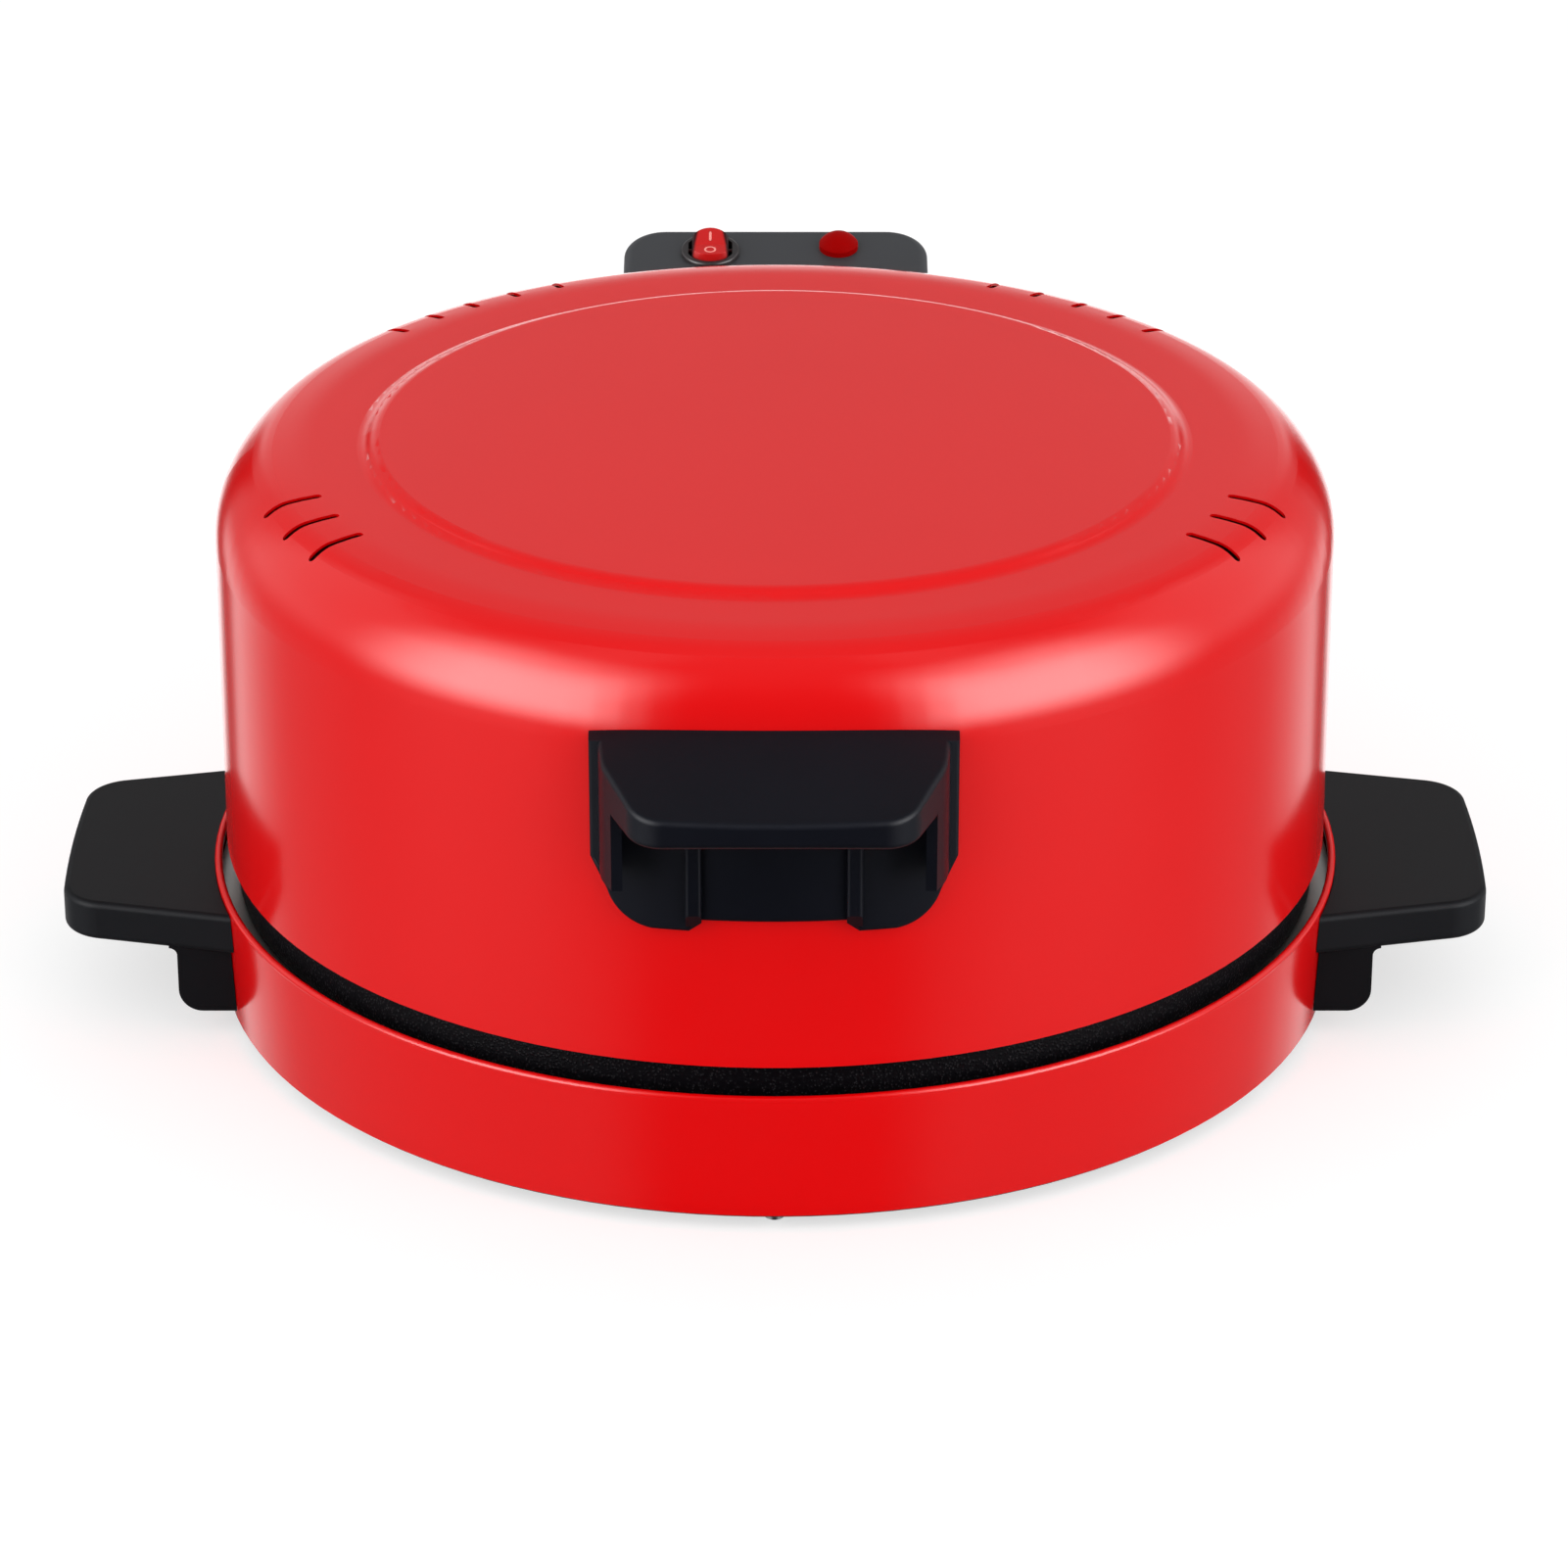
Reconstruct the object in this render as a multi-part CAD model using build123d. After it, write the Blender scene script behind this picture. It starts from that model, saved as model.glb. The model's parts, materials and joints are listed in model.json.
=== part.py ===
from build123d import *
import os
from math import atan, cos, degrees, radians, sin, tan

# Electric pizza oven with a hinged domed lid, in millimetres.
# The origin is on the upright axis of the round body, on the table. +Z is up, the front is -Y.

# Sheet metal and the gaps between pieces
sheet = 1.0
liner_sheet = 0.8
bracket_sheet = 1.5
skin_gap = 0.2
seat_gap = 0.05
rest_gap = 0.3
running_gap = 0.05
margin = 1.0

# Base ring
foot_height = 5.0
foot_radius = 9.0
foot_inset = 25.7
foot_stem_radius = 3.0
foot_barb_radius = 4.4
foot_barb_height = 3.0
foot_edge_radius = 1.0
base_height = 48.65
base_rim_radius = 215.1
base_taper = 2.4
base_rim_bead = 1.5
base_flange_width = 13.0
cover_edge_setback = 1.2
cover_slot_length = 34.0
cover_slot_width = 4.0
cover_slot_circles = (60.0, 115.0)
cover_slot_counts = (10, 18)
cover_screw_count = 6
cover_screw_length = 6.0

# Baking plate, whose granular rim is the black band between base and lid
band_height = 9.5
plate_inset = 9.1
plate_wall = 5.0
plate_recess = 8.0
plate_recess_draft = 6.0
plate_floor = 5.0
plate_skirt = 4.0
plate_boss_radius = 6.5
plate_boss_height = 5.0
stud_inset = 15.0
stud_radius = 2.5
stud_length = 20.0
stud_depth = 6.0
nut_radius = 4.6
nut_height = 4.0
support_angles = (45, 135, 225, 315)

# Reflector pan and brackets under the plate
reflector_inset = 4.0
reflector_depth = 18.0
reflector_side_gap = 1.0
bracket_lap = 9.0
bracket_drop = 17.0
bracket_sweep = 7.0

# Lid
lid_inset = 5.1
lid_taper = 0.6
lid_height = 155.05
lid_hem_width = 2.8
ridge_rise = 2.9
ridge_foot_radius = 155.7
ridge_top_radius = 147.3

# Shoulder of the lid: three arcs that meet smoothly, with the turn from level at which each ends
crest_radius = 100.0
brow_radius = 16.0
shoulder_radius = 37.3
crest_turn = 8.0
brow_turn = 37.3

# Vent slots over the shoulder, with their angles from the side axis
slot_length = 21.9
slot_width = 3.4
front_slot_inset = 13.2
rear_slot_inset = 7.0
front_slot_angles = (19.4, 25.9, 32.4)
rear_slot_angles = (37.7, 43.9, 49.7, 55.9, 62.0)

# Lid liner, a bright pan that throws the heat down
liner_inset = 12.0
liner_space = 30.0
liner_corner = 25.0
liner_side_gap = 0.4
spacer_circle = 120.0
spacer_radius = 5.0
liner_screw_length = 10.0

# Tubular elements
element_radius = 4.0
element_bend = 9.0
element_gap_angle = 16.0
lower_ring_radius = 120.0
lower_leg = 14.0
upper_ring_radius = 130.0
upper_drop = 16.0
upper_leg = 8.0
seal_radius = 5.0
seal_height = 6.0
terminal_radius = 1.5
terminal_length = 9.0
clip_sheet = 1.2
clip_gap = 0.3
clip_width = 12.0
clip_tab = 9.0
clip_angles = (30, 150, 270)
clip_screw_cover = 1.5
leg_hole_gap = 1.5

# Screws: pan heads with a cross recess
screw_radius = 1.75
screw_head_radius = 3.6
screw_head_height = 2.2
small_screw_radius = 1.4
small_head_radius = 2.7
small_head_height = 1.6
cross_share = 0.55

# Side handles on the base
wing_top_below_rim = 2.45
wing_thickness = 15.7
wing_length = 55.9
wing_bow = 2.0
wing_root_half_width = 68.5
wing_tip_half_width = 52.5
wing_root_inset = 12.7
wing_corner_radius = 18.0
wing_edge_radius = 2.4
leg_half_width = 62.0
leg_depth = 10.4
leg_bottom_above_base = 4.0
leg_corner_radius = 9.0
leg_inner_corner = 3.0
handle_screw_angles = (-7.0, 7.0)
handle_screw_height = 24.0
handle_screw_length = 11.0

# Front handle on the lid
grip_half_width = 63.9
grip_depth = 40.0
grip_front_below_top = 16.8
grip_top_above_lid_edge = 130.2
grip_top_inset = 2.0
grip_lip = 9.55
grip_back_crown = 12.0
grip_front_crown = 0.9
grip_under_rise = 0.15
grip_under_crown = 4.0
grip_side_half_width = 61.1
grip_side_inset = 8.5
grip_bend_half_width = 59.7
grip_bend_depth = 7.5
grip_bend_radius = 25.0
grip_front_half_width = 46.7
grip_front_bow = 3.0
grip_corner_radius = 15.0
grip_edge_radius = 2.2
grip_plate_thickness = 4.5
grip_plate_edge_radius = 1.5
grip_cheek = 3.5
grip_cheek_depth = 16.0
grip_cheek_bottom = 77.35
grip_rib_offset = 28.0
grip_rib_width = 5.5
grip_rib_depth = 3.5
grip_rib_fade = 8.0
grip_rib_sink = 1.5
grip_rib_edge_radius = 1.2
grip_side_bottom = 80.35
grip_plate_bottom = 59.15
grip_foot_drop = 4.5
grip_foot_inner = 29.5
grip_foot_outer = 42.5
grip_corner_bottom = 68.15
grip_corner_half_width = 58.1
grip_corner_bulge = 3.1
grip_screw_heights = (66.0, 96.0)
grip_screw_length = 7.0

# Hinge at the back
hinge_standoff = 12.9
hinge_above_rim = 1.35
pin_radius = 3.0
pin_overhang = 3.6
pin_groove_depth = 0.6
pin_chamfer = 0.5
clip_thickness = 1.0
clip_ring_radius = 5.6
ear_radius = 9.0
ear_thickness = 10.0
knuckle_radius = 7.5
knuckle_half_width = 22.0
knuckle_end_gap = 0.5
bracket_face_below_axis = 9.0
bracket_top_below_axis = 6.0
bracket_bottom_below_axis = 42.0
stop_below_axis = 9.5
stop_thickness = 6.0
stop_reach = 11.0
bracket_screw_angles = (-7.5, 7.5)
bracket_screw_height = 20.0
bracket_screw_length = 6.0

# Rear housing on the lid
housing_half_width = 62.2
housing_depth = 40.0
housing_corner_radius = 17.0
housing_top_edge_radius = 4.0
housing_wall = 2.5
housing_above_axis = 14.0
housing_top_above_lid_edge = 147.15
housing_panel_tilt = 12.0
housing_boss_radius = 5.0
housing_screw_angles = (-12.5, 12.5)
housing_screw_heights = (28.0, 96.0)
housing_screw_length = 12.0
door_half_width = 40.0
door_bottom_above_housing = 20.0
door_top_above_housing = 118.0
door_thickness = 1.4
door_lip = 4.0
door_gap = 0.25
door_screw_length = 7.0
door_boss_radius = 3.6

# Rocker switch
switch_offset = -26.8
switch_setback = 16.0
bezel_radius = 12.0
bezel_height = 2.2
switch_barrel_radius = 10.9
switch_barrel_depth = 11.0
switch_floor = 1.5
well_radius = 9.9
well_half_width = 9.0
rocker_radius = 9.6
rocker_half_width = 7.4
rocker_valley = 3.6
rocker_side_height = 2.7
rocker_bevel_angle = 65.0
rocker_facet_angle = 14.0
rocker_throw = 24.0
rocker_underside = 3.0
pivot_below_face = 1.2
pivot_radius = 0.75
pivot_half_length = 10.2
mark_depth = 0.3
mark_offset = 3.9
on_mark_width = 1.1
on_mark_length = 4.4
off_mark_outer = 2.5
off_mark_inner = 1.6
blade_width = 4.8
blade_thickness = 0.8
blade_length = 8.0
blade_spacing = 6.0

# Pilot lamp
lamp_offset = 25.8
lamp_setback = 12.0
lens_radius = 7.95
lens_flange = 2.2
lens_dome = 4.5
lamp_barrel_radius = 6.0
lamp_barrel_depth = 16.0
lamp_wall = 1.2
lamp_nut_radius = 8.4
lamp_nut_height = 3.0
neon_radius = 2.6
neon_length = 11.0
neon_tip_radius = 2.0

# Cable gland at the back of the base
gland_angle = 112.0
gland_height = 20.0
gland_bore = 4.0
gland_body_radius = 6.2
gland_flange_radius = 8.5
gland_outer_reach = 5.0
gland_inner_reach = 4.0

# Sleeved leads inside the base and the lid
lead_radius = 1.2
lead_bend = 4.0
lead_tight_bend = 0.6
lead_wide_bend = 8.0
lead_run = 12.0
lead_pitch = 8.0
lead_window_width = 24.0
lead_window_height = 14.0

# Parts on the base floor and on the liner
terminal_block_size = (34.0, 18.0, 14.0)
terminal_block_spot = (-60.0, 120.0)
block_hole_radius = 2.0
clamp_bore = 1.0
block_hole_count = 3
block_hole_level_share = 0.6
block_screw_length = 6.0
thermostat_radius = 8.0
thermostat_height = 10.0
thermostat_spot = (-40.0, 60.0)
tab_half_length = 13.0
tab_thickness = 1.2
fuse_spot = (50.0, 60.0)
fuse_radius = 2.4
fuse_length = 14.0

# Distances from the upright axis that follow from the sizes above
base_foot_radius = base_rim_radius - base_taper
plate_radius = base_rim_radius - plate_inset
lid_radius = base_rim_radius - lid_inset
lid_top_radius = lid_radius - lid_taper
liner_radius = lid_radius - liner_inset
crest_across = crest_radius * sin(radians(crest_turn))
brow_across = brow_radius * (sin(radians(brow_turn)) - sin(radians(crest_turn)))
shoulder_across = crest_across + brow_across + shoulder_radius * (1 - sin(radians(brow_turn)))
foot_circle = base_foot_radius - foot_inset
stud_circle = plate_radius - stud_inset
bracket_inner_radius = stud_circle - bracket_lap
reflector_radius = bracket_inner_radius - reflector_inset
front_slot_circle = lid_radius - front_slot_inset - slot_length / 2
rear_slot_circle = lid_radius - rear_slot_inset - slot_length / 2
wing_reach = base_rim_radius + wing_length
wing_corner_reach = wing_reach - wing_bow
wing_root_radius = base_foot_radius - wing_root_inset
leg_reach = base_rim_radius + leg_depth
grip_reach = lid_radius + grip_depth
grip_top_reach = lid_radius - grip_top_inset
grip_cheek_reach = lid_radius + grip_cheek_depth
grip_side_reach = lid_radius - grip_side_inset
grip_bend_reach = lid_radius + grip_bend_depth
hinge_reach = base_rim_radius + hinge_standoff
housing_reach = lid_radius + housing_depth

# Heights above the table that follow from the sizes above
base_bottom = foot_height + sheet
base_top = base_bottom + base_height
lid_bottom = base_top + band_height
lid_flat = lid_bottom + lid_height
lid_crown = lid_flat + ridge_rise
crest_drop = crest_radius * (1 - cos(radians(crest_turn)))
brow_drop = brow_radius * (cos(radians(crest_turn)) - cos(radians(brow_turn)))
shoulder_up = crest_drop + brow_drop + shoulder_radius * cos(radians(brow_turn))
shoulder_level = lid_flat - shoulder_up
plate_top = lid_bottom + sheet - rest_gap
plate_under = plate_top - plate_recess - plate_floor
flange_top = plate_under - plate_boss_height
liner_top = lid_crown - sheet - liner_space
hinge_level = base_top + hinge_above_rim
housing_bottom = hinge_level + housing_above_axis
housing_top = lid_bottom + housing_top_above_lid_edge

UP = (Align.CENTER, Align.CENTER, Align.MIN)
DOWN = (Align.CENTER, Align.CENTER, Align.MAX)
QUARTER = 90


# Helpers
def polygon(*points):
    """A flat face inside a closed outline."""
    return make_face(Polyline(*points, close=True))


def turned(face, sweep=360):
    """Turn a half section, drawn as radius and height, about the upright axis."""
    solid = revolve(Plane.XZ * face, Axis.Z, sweep)
    return Rot(Z=-sweep / 2) * solid


def ring(inner, outer, bottom, top):
    """A flat ring about the upright axis."""
    return turned(polygon((inner, bottom), (outer, bottom), (outer, top), (inner, top)))


def disc(radius, bottom, top):
    """A round plate about the upright axis."""
    return Pos(0, 0, bottom) * Cylinder(radius, top - bottom, align=UP)


def across(face, half_width):
    """Extrude an outline drawn as Y and Z to both sides of the middle plane."""
    return extrude(Plane.YZ * face, half_width, both=True)


def at_angle(angle, radius, height):
    """The place on the round body at an angle from +X, with its own X axis pointing outwards."""
    return Rot(Z=angle) * Pos(radius, 0, height)


def pan_screw(radius, length, head_radius, head_height):
    """A cross-recessed screw along +Z, with the underside of its head at the origin."""
    body = Cylinder(radius, length, align=UP) + Cylinder(head_radius, head_height, align=DOWN)
    recess = head_height * cross_share
    arm = Pos(0, 0, -head_height) * Box(head_radius, head_radius / 4, recess, align=UP)
    return body - arm - Rot(Z=90) * arm


def screw(length):
    return pan_screw(screw_radius, length, screw_head_radius, screw_head_height)


def small_screw(length):
    return pan_screw(small_screw_radius, length, small_head_radius, small_head_height)


def round_hole(radius, length):
    """A drill for holes, centred on the origin along Z."""
    return Cylinder(radius, length)


def outwards(shape):
    """Turn a piece that points along +Z so that it points along +X."""
    return Rot(Y=90) * shape


def group(shapes):
    """Several separate solids in one node."""
    solids = [solid for shape in shapes for solid in shape.solids()]
    return Compound(children=solids)


# Shapes that several pieces share
def base_radius(level):
    """Outer radius of the base wall at a level above the table."""
    slope = (base_rim_radius - base_foot_radius) / base_height
    return base_foot_radius + slope * (level - base_bottom)


def base_cone(inset, bottom, top):
    """The space inside the base wall, drawn inwards by an inset."""
    low = base_radius(bottom) - inset
    high = base_radius(top) - inset
    return turned(polygon((0, bottom), (low, bottom), (high, top), (0, top)))


def along(point, turn, distance):
    """The point at a distance from another, in a direction turned from +Z towards the outside."""
    return (point[0] + distance * sin(radians(turn)), point[1] + distance * cos(radians(turn)))


def dome(inset, bottom=lid_bottom):
    """The filled form of the lid, drawn inwards by an inset."""
    run = ridge_foot_radius - ridge_top_radius
    bend = (run**2 + ridge_rise**2) / (4 * ridge_rise)
    turn = 2 * degrees(atan(ridge_rise / run))
    wall = Line((lid_radius - inset, bottom), (lid_top_radius - inset, shoulder_level))
    shoulder_centre = (lid_top_radius - shoulder_radius, shoulder_level)
    brow_centre = along(shoulder_centre, brow_turn, shoulder_radius - brow_radius)
    crest_centre = along(brow_centre, crest_turn, brow_radius - crest_radius)
    shoulder = CenterArc(shoulder_centre, shoulder_radius - inset, 0, QUARTER - brow_turn)
    brow = CenterArc(brow_centre, brow_radius - inset, QUARTER - brow_turn, brow_turn - crest_turn)
    crest = CenterArc(crest_centre, crest_radius - inset, QUARTER - crest_turn, crest_turn)
    foot = CenterArc((ridge_foot_radius, lid_flat + bend), bend + inset, -QUARTER - turn, turn)
    crown = CenterArc((ridge_top_radius, lid_crown - bend), bend - inset, QUARTER - turn, turn)
    flat = Line(crest @ 1, foot @ 1)
    top = Line(crown @ 1, (0, lid_crown - inset))
    closing = Polyline((0, lid_crown - inset), (0, bottom), (lid_radius - inset, bottom))
    arcs = shoulder + brow + crest
    return turned(make_face(wall + arcs + flat + foot + crown + top + closing))


def pan(radius, bottom, top, corner):
    """A filled round pan, upside down, with a rounded corner at its top."""
    side = Line((radius, bottom), (radius, top - corner))
    bend = CenterArc((radius - corner, top - corner), corner, 0, 90)
    rest = Polyline((radius - corner, top), (0, top), (0, bottom), (radius, bottom))
    return turned(make_face(side + bend + rest))


# Base
def make_base_shell():
    """Painted steel ring with a rolled rim and a flange for the bottom cover."""
    wall_top = base_top - base_rim_bead
    shell = base_cone(0, base_bottom, wall_top)
    shell -= base_cone(sheet, base_bottom + sheet, wall_top)
    shell -= disc(base_foot_radius - base_flange_width, base_bottom, wall_top)
    bead_centre = Pos(base_rim_radius - base_rim_bead, wall_top)
    shell += turned(bead_centre * Circle(base_rim_bead))
    drill = outwards(round_hole(screw_radius + seat_gap, 4 * sheet))
    for angle in handle_screw_angles:
        for side in (0, 180):
            shell -= at_angle(side + angle, base_foot_radius, handle_screw_height) * drill
    for angle in bracket_screw_angles:
        shell -= at_angle(QUARTER + angle, base_foot_radius, bracket_screw_height) * drill
    gland_drill = outwards(round_hole(gland_body_radius + seat_gap, 6 * sheet))
    shell -= at_angle(gland_angle, base_foot_radius, gland_height) * gland_drill
    for angle in cover_screw_angles():
        spot = at_angle(angle, cover_screw_circle(), base_bottom)
        shell -= spot * round_hole(screw_radius + seat_gap, 4 * sheet)
    return shell


def cover_screw_angles():
    pitch = 360 / cover_screw_count
    return [pitch * (step + 0.5) for step in range(cover_screw_count)]


def cover_screw_circle():
    return base_foot_radius - base_flange_width / 2


def make_bottom_cover():
    """Round steel cover under the base, with vent slots and holes for feet and screws."""
    cover = disc(base_foot_radius - cover_edge_setback, foot_height, base_bottom)
    for circle, count in zip(cover_slot_circles, cover_slot_counts):
        slot = extrude(SlotOverall(cover_slot_length, cover_slot_width), 2 * sheet, both=True)
        for step in range(count):
            angle = 360 * step / count
            cover -= at_angle(angle, circle + cover_slot_length / 2, base_bottom) * slot
    for angle in support_angles:
        cover -= at_angle(angle, foot_circle, base_bottom) * round_hole(foot_stem_radius, 4 * sheet)
    for angle in cover_screw_angles():
        spot = at_angle(angle, cover_screw_circle(), base_bottom)
        cover -= spot * round_hole(screw_radius + seat_gap, 4 * sheet)
    block_x, block_y = terminal_block_spot
    cover -= Pos(block_x, block_y, base_bottom) * round_hole(screw_radius + seat_gap, 4 * sheet)
    return cover


def make_foot():
    """Rubber foot with a barbed stem that pulls through the cover."""
    pad = Cylinder(foot_radius, foot_height, align=UP)
    pad = fillet(pad.edges().sort_by(Axis.Z)[0], foot_edge_radius)
    stem = Pos(0, 0, foot_height) * Cylinder(foot_stem_radius - seat_gap, sheet, align=UP)
    barb = Pos(0, 0, base_bottom) * Cone(foot_barb_radius, foot_stem_radius, foot_barb_height, align=UP)
    return pad + stem + barb


def make_cover_screws():
    fastener = screw(cover_screw_length)
    angles = cover_screw_angles()
    return group([at_angle(angle, cover_screw_circle(), foot_height) * fastener for angle in angles])


def make_baking_plate():
    """Cast plate with a raised rim, a skirt and four bosses for its studs."""
    floor_edge = plate_radius - plate_wall - plate_recess_draft
    inner = plate_radius - plate_wall
    skirt_bottom = plate_under - plate_skirt
    section = polygon(
        (0, plate_under),
        (inner, plate_under),
        (inner, skirt_bottom),
        (plate_radius, skirt_bottom),
        (plate_radius, plate_top),
        (inner, plate_top),
        (floor_edge, plate_top - plate_recess),
        (0, plate_top - plate_recess),
    )
    plate = turned(section)
    for angle in support_angles:
        spot = at_angle(angle, stud_circle, flange_top)
        plate += spot * Cylinder(plate_boss_radius, plate_boss_height, align=UP)
        plate -= spot * Cylinder(stud_radius + seat_gap, stud_depth, align=UP)
    pilot = round_hole(small_screw_radius + seat_gap, 2 * clip_screw_depth())
    for place in clip_screw_places(plate_under, lower_ring_radius):
        plate -= place * pilot
    return plate


def clip_screw_depth():
    return plate_floor - clip_screw_cover


def clip_screw_places(level, ring_radius):
    """Two places beside the tube at each clip angle."""
    offset = element_radius + clip_sheet + clip_tab / 2
    return [
        at_angle(angle, ring_radius + side * offset, level)
        for angle in clip_angles
        for side in (-1, 1)
    ]


def make_plate_studs():
    stud = Cylinder(stud_radius, stud_length, align=UP)
    level = flange_top + stud_depth - stud_length
    return group([at_angle(angle, stud_circle, level) * stud for angle in support_angles])


def make_plate_nuts():
    hexagon = RegularPolygon(nut_radius, 6) - Circle(stud_radius + seat_gap)
    nut = extrude(hexagon, nut_height)
    level = flange_top - liner_sheet - bracket_sheet - nut_height
    return group([at_angle(angle, stud_circle, level) * nut for angle in support_angles])


def make_lower_reflector():
    """Bright pan under the element, hung by its flange between plate and brackets."""
    flange_bottom = flange_top - liner_sheet
    flange_radius = base_radius(flange_bottom) - sheet - reflector_side_gap
    pan_bottom = flange_top - reflector_depth
    reflector = ring(reflector_radius - liner_sheet, flange_radius, flange_bottom, flange_top)
    reflector += ring(reflector_radius - liner_sheet, reflector_radius, pan_bottom, flange_top)
    reflector += disc(reflector_radius, pan_bottom, pan_bottom + liner_sheet)
    stud_hole = round_hole(stud_radius + seat_gap, 4 * liner_sheet)
    for angle in support_angles:
        reflector -= at_angle(angle, stud_circle, flange_top) * stud_hole
    leg_hole = round_hole(element_radius + leg_hole_gap, 4 * liner_sheet)
    for angle in leg_angles(lower_ring_radius):
        reflector -= at_angle(angle, lower_ring_radius, pan_bottom) * leg_hole
    return reflector


def make_plate_brackets():
    """Four angle brackets on the inside of the base wall that carry the plate."""
    top = flange_top - liner_sheet
    bottom = top - bracket_drop
    inset = sheet + seat_gap
    section = polygon(
        (bracket_inner_radius, top - bracket_sheet),
        (base_radius(top - bracket_sheet) - inset - bracket_sheet, top - bracket_sheet),
        (base_radius(bottom) - inset - bracket_sheet, bottom),
        (base_radius(bottom) - inset, bottom),
        (base_radius(top) - inset, top),
        (bracket_inner_radius, top),
    )
    bracket = turned(section, bracket_sweep)
    hole = Pos(stud_circle, 0, top) * round_hole(stud_radius + seat_gap, 4 * bracket_sheet)
    return group([Rot(Z=angle) * (bracket - hole) for angle in support_angles])


# Heating elements
def leg_angles(ring_radius):
    """Angles at which the two legs of an element stand, beside the gap at the back."""
    past_end = degrees(element_bend / ring_radius)
    half_gap = element_gap_angle / 2 - past_end
    return (QUARTER - half_gap, QUARTER + half_gap)


def element_tube(ring_radius, level, leg, direction):
    """Tube bent to a ring, with both ends turned up (1) or down (-1) at the back."""
    sweep = 360 - element_gap_angle
    tube = turned(Pos(ring_radius, level) * Circle(element_radius), sweep)
    tube = Rot(Z=-90) * tube
    for side in (-1, 1):
        angle = 90 + side * element_gap_angle / 2
        end = at_angle(angle, ring_radius, level)
        elbow_centre = end * Pos(0, 0, direction * element_bend)
        section = end * (Plane.XZ * Circle(element_radius))
        axis_line = Axis((elbow_centre.position), end.x_axis.direction)
        tube += revolve(section, axis_line, side * direction * -90)
        foot = end * Pos(0, -side * element_bend, direction * element_bend)
        upright = Cylinder(element_radius, leg, align=UP if direction > 0 else DOWN)
        tube += foot * upright
    return tube


def leg_tips(ring_radius, level, leg, direction):
    """Places of the two leg ends, with their own Z axis along the leg."""
    tips = []
    for side in (-1, 1):
        angle = 90 + side * element_gap_angle / 2
        end = at_angle(angle, ring_radius, level + direction * (element_bend + leg))
        flip = Rot(X=0 if direction > 0 else 180)
        tips.append(end * Pos(0, -side * element_bend, 0) * flip)
    return tips


def make_seals(tips):
    """Ceramic bushes that close the ends of the tube round the terminals."""
    bush = Cylinder(seal_radius, seal_height, align=UP)
    bush -= Cylinder(terminal_radius + seat_gap, seal_height, align=UP)
    return group([tip * bush for tip in tips])


def make_terminals(tips):
    pin = Cylinder(terminal_radius, seal_height + terminal_length, align=UP)
    return group([tip * pin for tip in tips])


def make_lower_clips():
    """Saddles that hold the lower tube up against the plate."""
    centre = plate_under - seat_gap - element_radius
    outer = element_radius + clip_sheet
    half = outer + clip_tab
    face = Circle(outer) + Pos(0, plate_under - centre - clip_sheet / 2) * Rectangle(2 * half, clip_sheet)
    face -= Circle(element_radius + clip_gap)
    face -= Pos(0, plate_under - centre + outer) * Rectangle(2 * half, 2 * outer)
    saddle = extrude(Plane.XZ * face, clip_width / 2, both=True)
    drill_offset = outer + clip_tab / 2
    for side in (-1, 1):
        saddle -= Pos(side * drill_offset, 0, 0) * round_hole(small_screw_radius + seat_gap, 4 * outer)
    return group([at_angle(angle, lower_ring_radius, centre) * saddle for angle in clip_angles])


def make_lower_clip_screws():
    fastener = small_screw(clip_sheet + clip_screw_depth() - seat_gap)
    places = clip_screw_places(plate_under - clip_sheet, lower_ring_radius)
    return group([place * fastener for place in places])


def make_upper_hangers():
    """Straps that hang the upper tube from the liner's ceiling."""
    outer = element_radius + clip_sheet
    face = Circle(outer) - Circle(element_radius + clip_gap)
    reach = upper_drop - element_radius - clip_sheet / 2
    face += Pos(0, upper_drop - reach / 2) * Rectangle(clip_sheet, reach)
    tab_length = 2 * clip_tab
    face += Pos(clip_tab - clip_sheet / 2, upper_drop - clip_sheet / 2) * Rectangle(tab_length, clip_sheet)
    strap = extrude(Plane.XZ * face, clip_width / 2, both=True)
    strap -= Pos(clip_tab, 0, upper_drop) * round_hole(small_screw_radius + seat_gap, 4 * clip_sheet)
    return group([at_angle(angle, upper_ring_radius, upper_level()) * strap for angle in clip_angles])


def make_hanger_rivets():
    """Rivets that hold the hangers to the ceiling, with a head on both sides."""
    length = clip_sheet + liner_sheet
    rivet = small_screw(length)
    rivet += Pos(0, 0, length) * Cylinder(small_head_radius, small_head_height / 2, align=UP)
    level = liner_top - liner_sheet - clip_sheet
    places = [at_angle(angle, upper_ring_radius + clip_tab, level) for angle in clip_angles]
    return group([place * rivet for place in places])


def upper_level():
    return liner_top - liner_sheet - upper_drop


def lower_level():
    return plate_under - seat_gap - element_radius


# Lid
def make_lid_shell():
    """Painted steel dome with a hem, a raised disc and vent slots over its shoulder."""
    shell = dome(0) - dome(sheet, lid_bottom)
    shell += ring(lid_radius - lid_hem_width, lid_radius - sheet / 2, lid_bottom, lid_bottom + sheet)
    slot = extrude(SlotOverall(slot_length, slot_width), shoulder_up, both=True)
    slots = [at_angle(-angle, front_slot_circle, lid_flat) * slot for angle in front_slot_angles]
    slots += [at_angle(angle, rear_slot_circle, lid_flat) * slot for angle in rear_slot_angles]
    for slot in slots:
        shell = shell - slot - mirror(slot, Plane.YZ)
    drill = outwards(round_hole(screw_radius + seat_gap, 6 * sheet))
    for place in grip_screw_places() + housing_screw_places():
        shell -= place * drill
    window = Box(2 * shoulder_across, lead_window_width, lead_window_height)
    return shell - at_angle(90, lid_radius, lead_window_level()) * window


def lead_window_level():
    """Level of the window through which the leads pass from the lid into the housing."""
    return (housing_bottom + housing_top) / 2


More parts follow.
